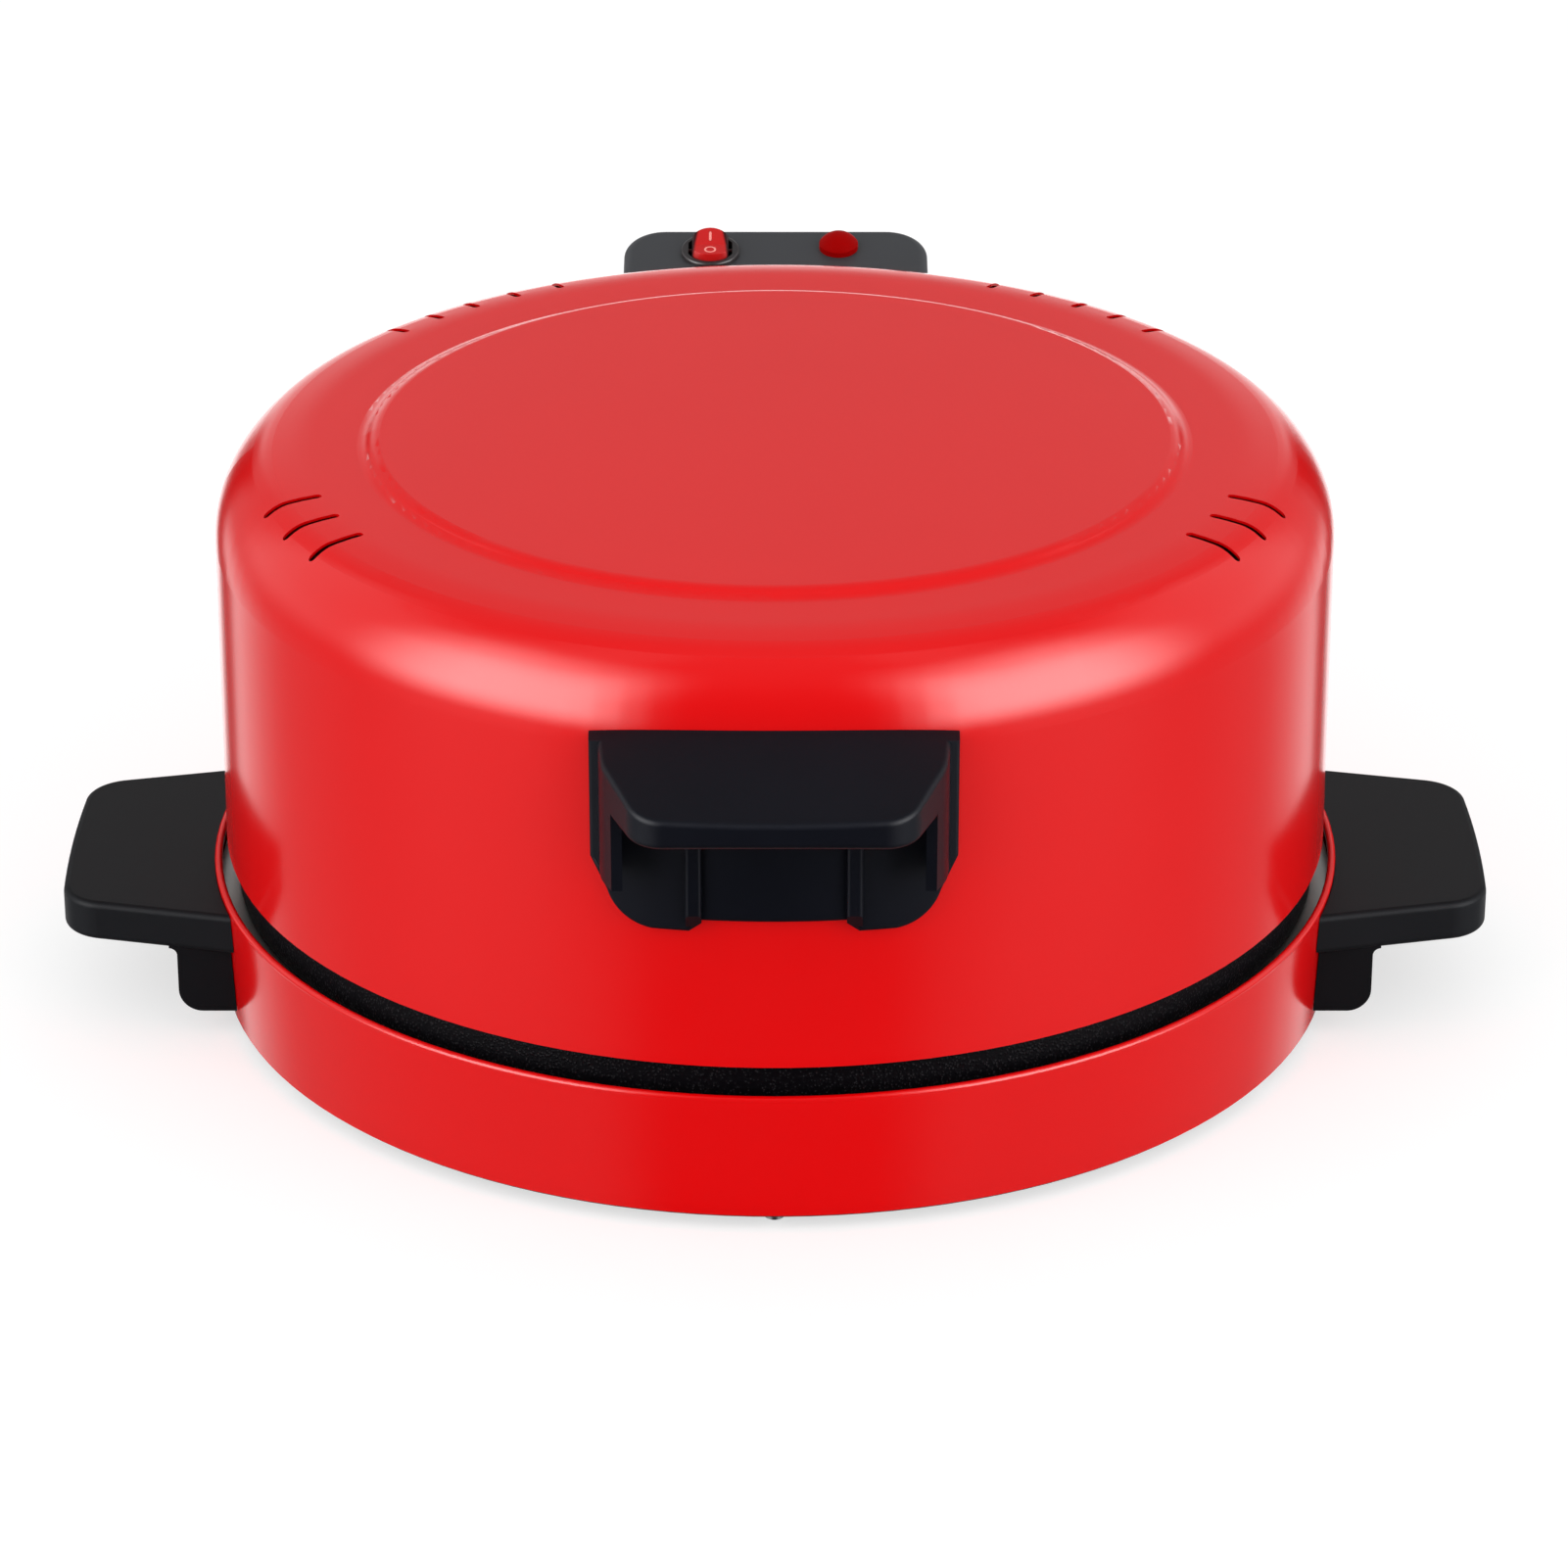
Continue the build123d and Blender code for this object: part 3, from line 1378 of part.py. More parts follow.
def make_base_leads():
    """Two leads from the terminal block to the ends of the lower element."""
    length, width, height = terminal_block_size
    block_x, block_y = terminal_block_spot
    level = base_bottom + height * block_hole_level_share
    back = block_y + width / 2
    far_tip, near_tip = leg_tips(lower_ring_radius, lower_level(), lower_leg, -1)
    leads = []
    for side, tip, run in ((1, near_tip, lead_run), (-1, far_tip, lead_run + lead_pitch)):
        x = block_x + side * length / block_hole_count
        end = tip.position
        leads.append(
            lead(
                [
                    (x, back, level),
                    (x, back + run, level),
                    (end.X, back + run, level),
                    (end.X, end.Y + terminal_radius, level),
                ]
            )
        )
    return group(leads)


def blade_end(side):
    """The lower end of a switch blade, at the front (-1) or the back (1) of the barrel."""
    place = switch_place() * Pos(0, side * blade_spacing, -switch_barrel_depth - blade_length)
    return place.position


def make_lid_leads():
    """Two leads from the upper element through the lid's window to the switch."""
    between = (liner_radius + lid_radius - sheet) / 2
    window = lead_window_level()
    leads = []
    right_tip, left_tip = leg_tips(upper_ring_radius, upper_level(), upper_leg, 1)
    for side, tip in ((-1, left_tip), (1, right_tip)):
        x = tip.position.X
        level = tip.position.Z + seal_height + terminal_length / 3
        end = blade_end(side)
        end_x = end.X - lead_radius
        points = [
            (x, tip.position.Y + terminal_radius, level),
            (x, between, level),
            (x, between, window),
            (x, end.Y, window),
            (end_x, end.Y, window),
            (end_x, end.Y, end.Z - skin_gap),
        ]
        bends = [lead_wide_bend, lead_bend, lead_bend, lead_bend]
        leads.append(lead(points, bends))
    return group(leads)


def make_lamp_leads():
    """Two leads from the pilot lamp to the blades of the switch."""
    leads = []
    for side in (-1, 1):
        start = (lamp_place() * Pos(side * 2 * lead_radius, 0, -lamp_barrel_depth)).position
        end = blade_end(side)
        end_x = end.X + lead_radius
        drop = end.Z - lead_run - (side + 1) * lead_radius
        points = [
            (start.X, start.Y, start.Z - 2 * skin_gap),
            (start.X, start.Y, start.Z - lead_radius),
            (start.X, end.Y, drop),
            (end_x, end.Y, drop),
            (end_x, end.Y, end.Z - skin_gap),
        ]
        bends = [lead_tight_bend, lead_bend, lead_bend]
        leads.append(lead(points, bends))
    return group(leads)


def make_nodes():
    """All pieces by node name."""
    lower_tips = leg_tips(lower_ring_radius, lower_level(), lower_leg, -1)
    upper_tips = leg_tips(upper_ring_radius, upper_level(), upper_leg, 1)
    right_handle = make_side_handle()
    nodes = {
        "base_shell": make_base_shell(),
        "bottom_cover": make_bottom_cover(),
        "bottom_cover_screws": make_cover_screws(),
        "baking_plate": make_baking_plate(),
        "plate_studs": make_plate_studs(),
        "plate_nuts": make_plate_nuts(),
        "plate_brackets": make_plate_brackets(),
        "lower_reflector": make_lower_reflector(),
        "lower_element": element_tube(lower_ring_radius, lower_level(), lower_leg, -1),
        "lower_element_seals": make_seals(lower_tips),
        "lower_element_terminals": make_terminals(lower_tips),
        "lower_element_clips": make_lower_clips(),
        "lower_clip_screws": make_lower_clip_screws(),
        "plate_thermostat": make_plate_thermostat(),
        "terminal_block": make_terminal_block(),
        "terminal_clamps": make_block_clamps(),
        "terminal_block_screw": make_block_screw(),
        "base_leads": make_base_leads(),
        "cable_gland": make_cable_gland(),
        "side_handle_right": right_handle,
        "side_handle_left": mirror(right_handle, Plane.YZ),
        "side_handle_screws": make_handle_screws(),
        "hinge_bracket": make_hinge_bracket(),
        "hinge_bracket_screws": make_bracket_screws(),
        "hinge_pin": make_hinge_pin(),
        "hinge_pin_clips": make_pin_clips(),
        "lid_shell": make_lid_shell(),
        "lid_liner": make_lid_liner(),
        "liner_spacers": make_liner_spacers(),
        "liner_screws": make_liner_screws(),
        "upper_element": element_tube(upper_ring_radius, upper_level(), upper_leg, 1),
        "upper_element_seals": make_seals(upper_tips),
        "upper_element_terminals": make_terminals(upper_tips),
        "upper_element_hangers": make_upper_hangers(),
        "hanger_rivets": make_hanger_rivets(),
        "lid_thermostat": make_lid_thermostat(),
        "thermal_fuse": make_thermal_fuse(),
        "lid_leads": make_lid_leads(),
        "front_handle": make_front_handle(),
        "front_handle_screws": make_grip_screws(),
        "rear_housing": make_rear_housing(),
        "rear_housing_screws": make_housing_screws(),
        "service_cover": make_service_cover(),
        "service_cover_screws": make_service_cover_screws(),
        "switch_body": make_switch_body(),
        "switch_terminals": make_switch_terminals(),
        "switch_rocker": make_rocker(),
        "lamp_lens": make_lamp_lens(),
        "lamp_body": make_lamp_body(),
        "lamp_nut": make_lamp_nut(),
        "neon_lamp": make_neon_lamp(),
        "lamp_leads": make_lamp_leads(),
    }
    foot = make_foot()
    names = ("foot_rear_right", "foot_rear_left", "foot_front_left", "foot_front_right")
    for name, angle in zip(names, support_angles):
        nodes[name] = at_angle(angle, foot_circle, 0) * foot
    return nodes


os.makedirs("parts", exist_ok=True)
for node_name, shape in make_nodes().items():
    export_step(shape, f"parts/{node_name}.step")
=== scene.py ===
"""Looks of the electric pizza oven: finishes, fine pieces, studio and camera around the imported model."""

import json
import logging
import math
from dataclasses import dataclass
from enum import Enum
from functools import reduce
from operator import mul
from typing import Any, Dict, List, Optional, Tuple, Union

import bpy
import numpy as np
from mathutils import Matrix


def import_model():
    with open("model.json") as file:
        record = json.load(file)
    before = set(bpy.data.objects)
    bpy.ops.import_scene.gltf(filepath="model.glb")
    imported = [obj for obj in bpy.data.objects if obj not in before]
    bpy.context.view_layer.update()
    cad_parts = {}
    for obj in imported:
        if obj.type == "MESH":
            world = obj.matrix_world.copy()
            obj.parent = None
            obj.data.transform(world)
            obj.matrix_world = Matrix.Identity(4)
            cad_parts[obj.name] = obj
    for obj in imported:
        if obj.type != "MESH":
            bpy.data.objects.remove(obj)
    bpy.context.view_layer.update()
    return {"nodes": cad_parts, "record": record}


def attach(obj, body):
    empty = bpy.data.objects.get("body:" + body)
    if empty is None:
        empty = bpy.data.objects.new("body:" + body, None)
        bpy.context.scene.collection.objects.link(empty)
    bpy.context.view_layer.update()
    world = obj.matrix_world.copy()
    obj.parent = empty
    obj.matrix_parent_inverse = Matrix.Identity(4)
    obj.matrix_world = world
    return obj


logging.basicConfig(level=logging.INFO, format="%(message)s")
LOG = logging.getLogger("oven")

Vector3 = Tuple[float, float, float]
Colour = Tuple[float, float, float]
Span = Tuple[float, float]
Number = Union[int, float]
Key = Union[int, str]

MM = 0.001
WHITE = (1.0, 1.0, 1.0)
COMMON_IOR = 1.45


# Shader maths


class Signal:
    """A shader socket that takes part in plain arithmetic."""

    def __init__(self, board: "NodeBoard", socket: bpy.types.NodeSocket) -> None:
        """Wrap one output socket of a board."""
        self.board = board
        self.socket = socket

    def _math(self, operation: str, *values: Union["Signal", Number]) -> "Signal":
        """Add one Math node and give its result."""
        return self.board.node("ShaderNodeMath", {"operation": operation}, dict(enumerate(values)))

    def __add__(self, other: Union["Signal", Number]) -> "Signal":
        """Sum of both."""
        return self._math("ADD", self, other)

    def __radd__(self, other: Number) -> "Signal":
        """Sum of both."""
        return self._math("ADD", other, self)

    def __sub__(self, other: Union["Signal", Number]) -> "Signal":
        """This less the other."""
        return self._math("SUBTRACT", self, other)

    def __rsub__(self, other: Number) -> "Signal":
        """The other less this."""
        return self._math("SUBTRACT", other, self)

    def __mul__(self, other: Union["Signal", Number]) -> "Signal":
        """Product of both."""
        return self._math("MULTIPLY", self, other)

    def __rmul__(self, other: Number) -> "Signal":
        """Product of both."""
        return self._math("MULTIPLY", other, self)

    def __neg__(self) -> "Signal":
        """This with its sign turned."""
        return self._math("MULTIPLY", self, -1.0)

    def __abs__(self) -> "Signal":
        """This without its sign."""
        return self._math("ABSOLUTE", self)

    def at_most(self, other: Union["Signal", Number]) -> "Signal":
        """The smaller of both."""
        return self._math("MINIMUM", self, other)

    def at_least(self, other: Union["Signal", Number]) -> "Signal":
        """The larger of both."""
        return self._math("MAXIMUM", self, other)

    def smooth(self, low: float, high: float) -> "Signal":
        """Rise softly from 0 at low to 1 at high.

        Args:
            low: Value at which the rise starts.
            high: Value at which it ends.

        Returns:
            The eased share, 3t squared less 2t cubed.
        """
        settings = {"interpolation_type": "SMOOTHSTEP"}
        values = {0: self, 1: low, 2: high, 3: 0.0, 4: 1.0}
        return self.board.node("ShaderNodeMapRange", settings, values)


class NodeBoard:
    """A node tree with one call that adds any node."""

    def __init__(self, tree: bpy.types.NodeTree) -> None:
        """Clear the tree and keep it."""
        self.tree = tree
        tree.nodes.clear()

    def node(
        self,
        kind: str,
        settings: Optional[Dict[str, Any]] = None,
        values: Optional[Dict[Key, Any]] = None,
        output: Key = 0,
    ) -> Signal:
        """Add a node.

        Args:
            kind: The node's type.
            settings: Properties of the node, set first.
            values: Numbers, colours or links of its input sockets.
            output: Which output is given back.

        Returns:
            The chosen output, or the first input of a node that has no outputs.
        """
        made = self.tree.nodes.new(kind)
        for name, value in (settings or {}).items():
            setattr(made, name, value)
        for key, value in (values or {}).items():
            socket = made.inputs[key]
            if isinstance(value, Signal):
                self.tree.links.new(value.socket, socket)
            elif isinstance(value, tuple) and len(value) == 3 and socket.type == "RGBA":
                socket.default_value = (*value, 1.0)
            else:
                socket.default_value = value
        return Signal(self, made.outputs[output] if len(made.outputs) else made.inputs[0])

    def blend(self, factor: Signal, first: Colour, second: Colour) -> Signal:
        """Mix two colours, on a Mix node's colour sockets: inputs 6 and 7, output 2.

        Args:
            factor: Share of the second colour.
            first: Colour at 0.
            second: Colour at 1.

        Returns:
            The mixed colour.
        """
        return self.node("ShaderNodeMix", {"data_type": "RGBA"}, {0: factor, 6: first, 7: second}, 2)

    def position(self) -> Signal:
        """Object coordinates."""
        return self.node("ShaderNodeTexCoord", output="Object")

    def ray(self, kind: str) -> Signal:
        """Whether a ray is of a kind: 1 or 0."""
        return self.node("ShaderNodeLightPath", output=kind)

    def split(self, vector: Signal) -> Tuple[Signal, Signal, Signal]:
        """The three numbers of a vector."""
        first = self.node("ShaderNodeSeparateXYZ", None, {0: vector})
        parts = first.socket.node.outputs
        return tuple(Signal(self, parts[index]) for index in range(3))

    def noise(
        self,
        scale: float,
        detail: float = 2.0,
        roughness: float = 0.5,
        vector: Optional[Signal] = None,
    ) -> Signal:
        """Soft noise on the object's own coordinates.

        Args:
            scale: Waves per metre.
            detail: Octaves.
            roughness: Share of the fine octaves.
            vector: Coordinates to use instead.

        Returns:
            Noise between 0 and 1.
        """
        values = {"Scale": scale, "Detail": detail, "Roughness": roughness}
        values["Vector"] = vector or self.position()
        return self.node("ShaderNodeTexNoise", None, values)

    def bump(self, height: Signal, distance: float) -> Signal:
        """Turn a height into a shading normal.

        Args:
            height: Height between 0 and 1.
            distance: Depth of the relief in metres.

        Returns:
            The normal.
        """
        return self.node("ShaderNodeBump", None, {"Height": height, "Distance": distance})


# Finishes


@dataclass(frozen=True)
class Finish:
    """A surface finish that can dress a mesh.

    In every finish, waves are counted per metre, depths are metres, a haze is the most that a pattern
    adds to the roughness, and a shine is the shader's specular level. An edge is the span of a
    pattern's values over which it turns from one look to the other.
    """

    name: str
    colour: Colour
    roughness: float

    def material(self) -> bpy.types.Material:
        """Build the material, or give the one that was built before."""
        known = bpy.data.materials.get(self.name)
        if known is not None:
            return known
        made = bpy.data.materials.new(self.name)
        made.use_nodes = True
        board = NodeBoard(made.node_tree)
        surface = board.node("ShaderNodeBsdfPrincipled", None, self.sockets(board))
        board.node("ShaderNodeOutputMaterial", None, {0: surface})
        return made

    def sockets(self, board: NodeBoard) -> Dict[Key, Any]:
        """Values and links of the main shader's sockets."""
        return {"Base Color": self.colour, "Roughness": self.roughness}

    def toned(self, share: float, lift: float = 0.0) -> Colour:
        """The finish's colour times a share, plus a lift."""
        return tuple(part * share + lift for part in self.colour)


@dataclass(frozen=True)
class GlossEnamel(Finish):
    """Smooth sprayed enamel with a faint orange-peel relief."""

    drift_waves: float = 9.0
    deep_share: float = 0.94
    peel_waves: float = 420.0
    peel_depth: float = 0.000012
    cloud_waves: float = 35.0
    haze: float = 0.03

    def sockets(self, board: NodeBoard) -> Dict[Key, Any]:
        """Give the enamel's colour drift, its peel and its gloss."""
        drift = board.noise(self.drift_waves)
        peel = board.noise(self.peel_waves, detail=1.0)
        cloud = board.noise(self.cloud_waves, detail=3.0)
        return {
            "Base Color": board.blend(drift, self.toned(self.deep_share), self.colour),
            "Roughness": self.roughness + self.haze * cloud,
            "IOR": COMMON_IOR,
            "Normal": board.bump(peel, self.peel_depth),
        }


@dataclass(frozen=True)
class Moulding(Finish):
    """Satin heat-proof moulding with a fine grain."""

    grain_depth: float = 0.00003
    haze: float = 0.05
    shine: float = 0.5
    grain_waves: float = 2600.0
    cloud_waves: float = 22.0
    pale_share: float = 1.35
    pale_lift: float = 0.001

    def sockets(self, board: NodeBoard) -> Dict[Key, Any]:
        """Give the moulding's fine grain and its uneven gloss."""
        fine = board.noise(self.grain_waves)
        cloud = board.noise(self.cloud_waves, detail=3.0)
        return {
            "Base Color": board.blend(cloud, self.colour, self.toned(self.pale_share, self.pale_lift)),
            "Roughness": self.roughness + self.haze * cloud,
            "IOR": COMMON_IOR,
            "Specular IOR Level": self.shine,
            "Normal": board.bump(fine, self.grain_depth),
        }


@dataclass(frozen=True)
class GranularCoat(Finish):
    """Coarse non-stick coat: dark, with glinting raised grains."""

    grain_size: float = 0.0011
    grain_edge: Span = (0.05, 0.6)
    grain_share: float = 0.6
    skin_waves: float = 700.0
    glint_edge: Span = (0.25, 0.6)
    glint_colour: Colour = (0.026, 0.024, 0.027)
    glint_gloss: float = 0.2
    depth: float = 0.00025
    shine: float = 0.08

    def sockets(self, board: NodeBoard) -> Dict[Key, Any]:
        """Give the coat's grains, as cells whose middles stand proud and glint."""
        layout = {"Vector": board.position(), "Scale": 1 / self.grain_size}
        raised = 1.0 - board.node("ShaderNodeTexVoronoi", None, layout).smooth(*self.grain_edge)
        broad = board.noise(self.skin_waves, detail=3.0, roughness=0.7)
        glint = (raised * broad).smooth(*self.glint_edge)
        height = raised * self.grain_share + broad * (1.0 - self.grain_share)
        return {
            "Base Color": board.blend(glint, self.colour, self.glint_colour),
            "Roughness": self.roughness - self.glint_gloss * glint,
            "IOR": COMMON_IOR,
            "Specular IOR Level": self.shine,
            "Normal": board.bump(height, self.depth),
        }


@dataclass(frozen=True)
class SheetSteel(Finish):
    """Bright rolled sheet with faint rolling lines and clouding."""

    line_waves: float = 900.0
    line_stretch: Vector3 = (0.03, 1.0, 1.0)
    line_depth: float = 0.00001
    line_haze: float = 0.12
    cloud_waves: float = 14.0
    cloud_haze: float = 0.06
    dull_share: float = 0.82

    def sockets(self, board: NodeBoard) -> Dict[Key, Any]:
        """Give the sheet's rolling lines along X and its heat clouding."""
        layout = {"Vector": board.position(), "Scale": self.line_stretch}
        stretched = board.node("ShaderNodeMapping", None, layout)
        lines = board.noise(self.line_waves, roughness=0.6, vector=stretched)
        cloud = board.noise(self.cloud_waves, detail=4.0)
        return {
            "Base Color": board.blend(cloud, self.toned(self.dull_share), self.colour),
            "Metallic": 1.0,
            "Roughness": self.roughness + self.line_haze * lines + self.cloud_haze * cloud,
            "Normal": board.bump(lines, self.line_depth),
        }


@dataclass(frozen=True)
class BareMetal(Finish):
    """Plated or turned metal with fine scratches and a patchy tarnish."""

    scratch_waves: float = 3000.0
    scratch_depth: float = 0.00001
    haze: float = 0.12
    tarnish_waves: float = 120.0
    tarnish_edge: Span = (0.35, 0.75)
    tarnish_share: float = 0.7

    def sockets(self, board: NodeBoard) -> Dict[Key, Any]:
        """Give the metal's scratches and tarnish."""
        scratch = board.noise(self.scratch_waves, detail=3.0, roughness=0.7)
        clean = board.noise(self.tarnish_waves, detail=4.0).smooth(*self.tarnish_edge)
        return {
            "Base Color": board.blend(clean, self.toned(self.tarnish_share), self.colour),
            "Metallic": 1.0,
            "Roughness": self.roughness + self.haze * scratch,
            "Normal": board.bump(scratch, self.scratch_depth),
        }


@dataclass(frozen=True)
class Fired(Finish):
    """Unglazed ceramic or sleeving: chalky, with a speckled skin."""

    pit_waves: float = 1500.0
    pit_depth: float = 0.00004
    haze: float = 0.1
    speck_edge: Span = (0.3, 0.7)
    speck_shares: Vector3 = (0.86, 0.82, 0.76)

    def sockets(self, board: NodeBoard) -> Dict[Key, Any]:
        """Give the chalky skin's specks and pits."""
        pits = board.noise(self.pit_waves, detail=4.0, roughness=0.7)
        speck = tuple(part * share for part, share in zip(self.colour, self.speck_shares))
        return {
            "Base Color": board.blend(pits.smooth(*self.speck_edge), speck, self.colour),
            "Roughness": self.roughness + self.haze * pits,
            "Normal": board.bump(pits, self.pit_depth),
        }


@dataclass(frozen=True)
class ClearGlass(Finish):
    """Clear glass that lets light through."""

    drift_waves: float = 160.0
    deep_share: float = 0.85
    haze: float = 0.03
    passing: float = 1.0

    def sockets(self, board: NodeBoard) -> Dict[Key, Any]:
        """Give the tint's drift and its smooth skin."""
        drift = board.noise(self.drift_waves)
        return {
            "Base Color": board.blend(drift, self.toned(self.deep_share), self.colour),
            "Roughness": self.roughness + self.haze * drift,
            "Transmission Weight": self.passing,
            "IOR": COMMON_IOR,
        }


@dataclass(frozen=True)
class RockerPlastic(Finish):
    """Tinted plastic over a lamp: bright on the middle of the rocker, with painted shade towards its flanks.

    The rocker's middle plane is at X = middle. The bright part ends bright_half from it, the painted shade
    starts dark_half from it, and above taper_from both come nearer by taper per metre.
    """

    middle: float = -0.0268
    bright_half: float = 0.0062
    dark_half: float = 0.0074
    taper_from: float = 0.2105
    taper: float = 0.32
    # dark maroon: painted shade on the rocker's flanks and top
    flank: Colour = (0.028, 0.003, 0.004)
    drift_waves: float = 160.0
    haze: float = 0.03
    shine: float = 0.3

    def sockets(self, board: NodeBoard) -> Dict[Key, Any]:
        """Give the tint, with painted shade that deepens with the distance from the middle plane and with
        the height.
        """
        x, _, z = board.split(board.position())
        # painted shade: the tint darkens away from the middle plane and towards the top
        reach = abs(x - self.middle) + self.taper * (z - self.taper_from).at_least(0.0)
        shade = reach.smooth(self.bright_half, self.dark_half)
        drift = board.noise(self.drift_waves)
        return {
            "Base Color": board.blend(shade, self.colour, self.flank),
            "Roughness": self.roughness + self.haze * drift,
            "IOR": COMMON_IOR,
            "Specular IOR Level": self.shine,
        }


# A darker, bluer copy of the black moulding: painted shade on the front handle.
SHADED_MOULDING = Moulding("shaded black moulding", (0.0012, 0.0016, 0.0040), 0.4, shine=0.2)
ROCKER_RED = RockerPlastic("red rocker plastic", (0.56, 0.010, 0.010), 0.3)
MARK_PAINT = Moulding("pale mark inlay", (0.80, 0.26, 0.23), 0.5)


class Skin(Enum):
    """Finishes of the oven, by the record's material slot."""

    red_paint = GlossEnamel("red gloss enamel", (0.77, 0.0006, 0.0016), 0.15)
    black_moulding = Moulding("black moulding", (0.0040, 0.0044, 0.0056), 0.46, shine=0.13)
    grey_moulding = Moulding("dark grey moulding", (0.030, 0.032, 0.036), 0.42)
    nonstick = GranularCoat("granular non-stick coat", (0.0008, 0.0006, 0.0012), 0.5)
    bright_steel = SheetSteel("aluminised sheet", (0.62, 0.62, 0.60), 0.24)
    black_steel = Moulding("black painted sheet", (0.018, 0.018, 0.018), 0.5, grain_depth=0.00005)
    zinc_steel = BareMetal("zinc plate", (0.60, 0.60, 0.58), 0.28)
    screw_steel = BareMetal("plated screws", (0.55, 0.55, 0.55), 0.25)
    element_sheath = BareMetal("oxidised element tube", (0.14, 0.13, 0.12), 0.42)
    ceramic = Fired("white ceramic", (0.78, 0.76, 0.70), 0.7)
    brass = BareMetal("turned brass", (0.72, 0.55, 0.26), 0.26)
    rubber = Moulding("black rubber", (0.02, 0.02, 0.02), 0.75, grain_depth=0.00006)
    red_lens = Moulding("deep red lens", (0.27, 0.0, 0.0), 0.5, grain_depth=0.0, haze=0.02, shine=0.03)
    black_plastic = Moulding("black switch plastic", (0.022, 0.019, 0.020), 0.3, grain_depth=0.00002)
    white_plastic = Moulding("white lamp moulding", (0.62, 0.62, 0.58), 0.45)
    lead_sleeve = Fired("white glass sleeving", (0.70, 0.68, 0.62), 0.75)
    clear_glass = ClearGlass("clear glass", (0.95, 0.95, 0.95), 0.05)


# Studio


@dataclass(frozen=True)
class Patch:
    """A soft-edged patch of the studio, by direction.

    Sides are degrees from the front to either side, heights are degrees above the horizon. Each span
    is where an edge starts and ends; the patch has no edge where a span is left out.
    """

    level: float
    side_rise: Optional[Span] = None
    side_fall: Optional[Span] = None
    height_rise: Optional[Span] = None
    height_fall: Optional[Span] = None

    def towards(self, side: Signal, height: Signal) -> Signal:
        """Give the patch's part in a direction: its level times the eased share of each edge.

        Args:
            side: Degrees from the front to either side.
            height: Degrees above the horizon.

        Returns:
            The level within the patch, falling softly to 0 outside it.
        """
        rising = ((side, self.side_rise), (height, self.height_rise))
        falling = ((side, self.side_fall), (height, self.height_fall))
        edges = [angle.smooth(*span) for angle, span in rising if span]
        edges += [1 - angle.smooth(*span) for angle, span in falling if span]
        return reduce(mul, edges) * self.level


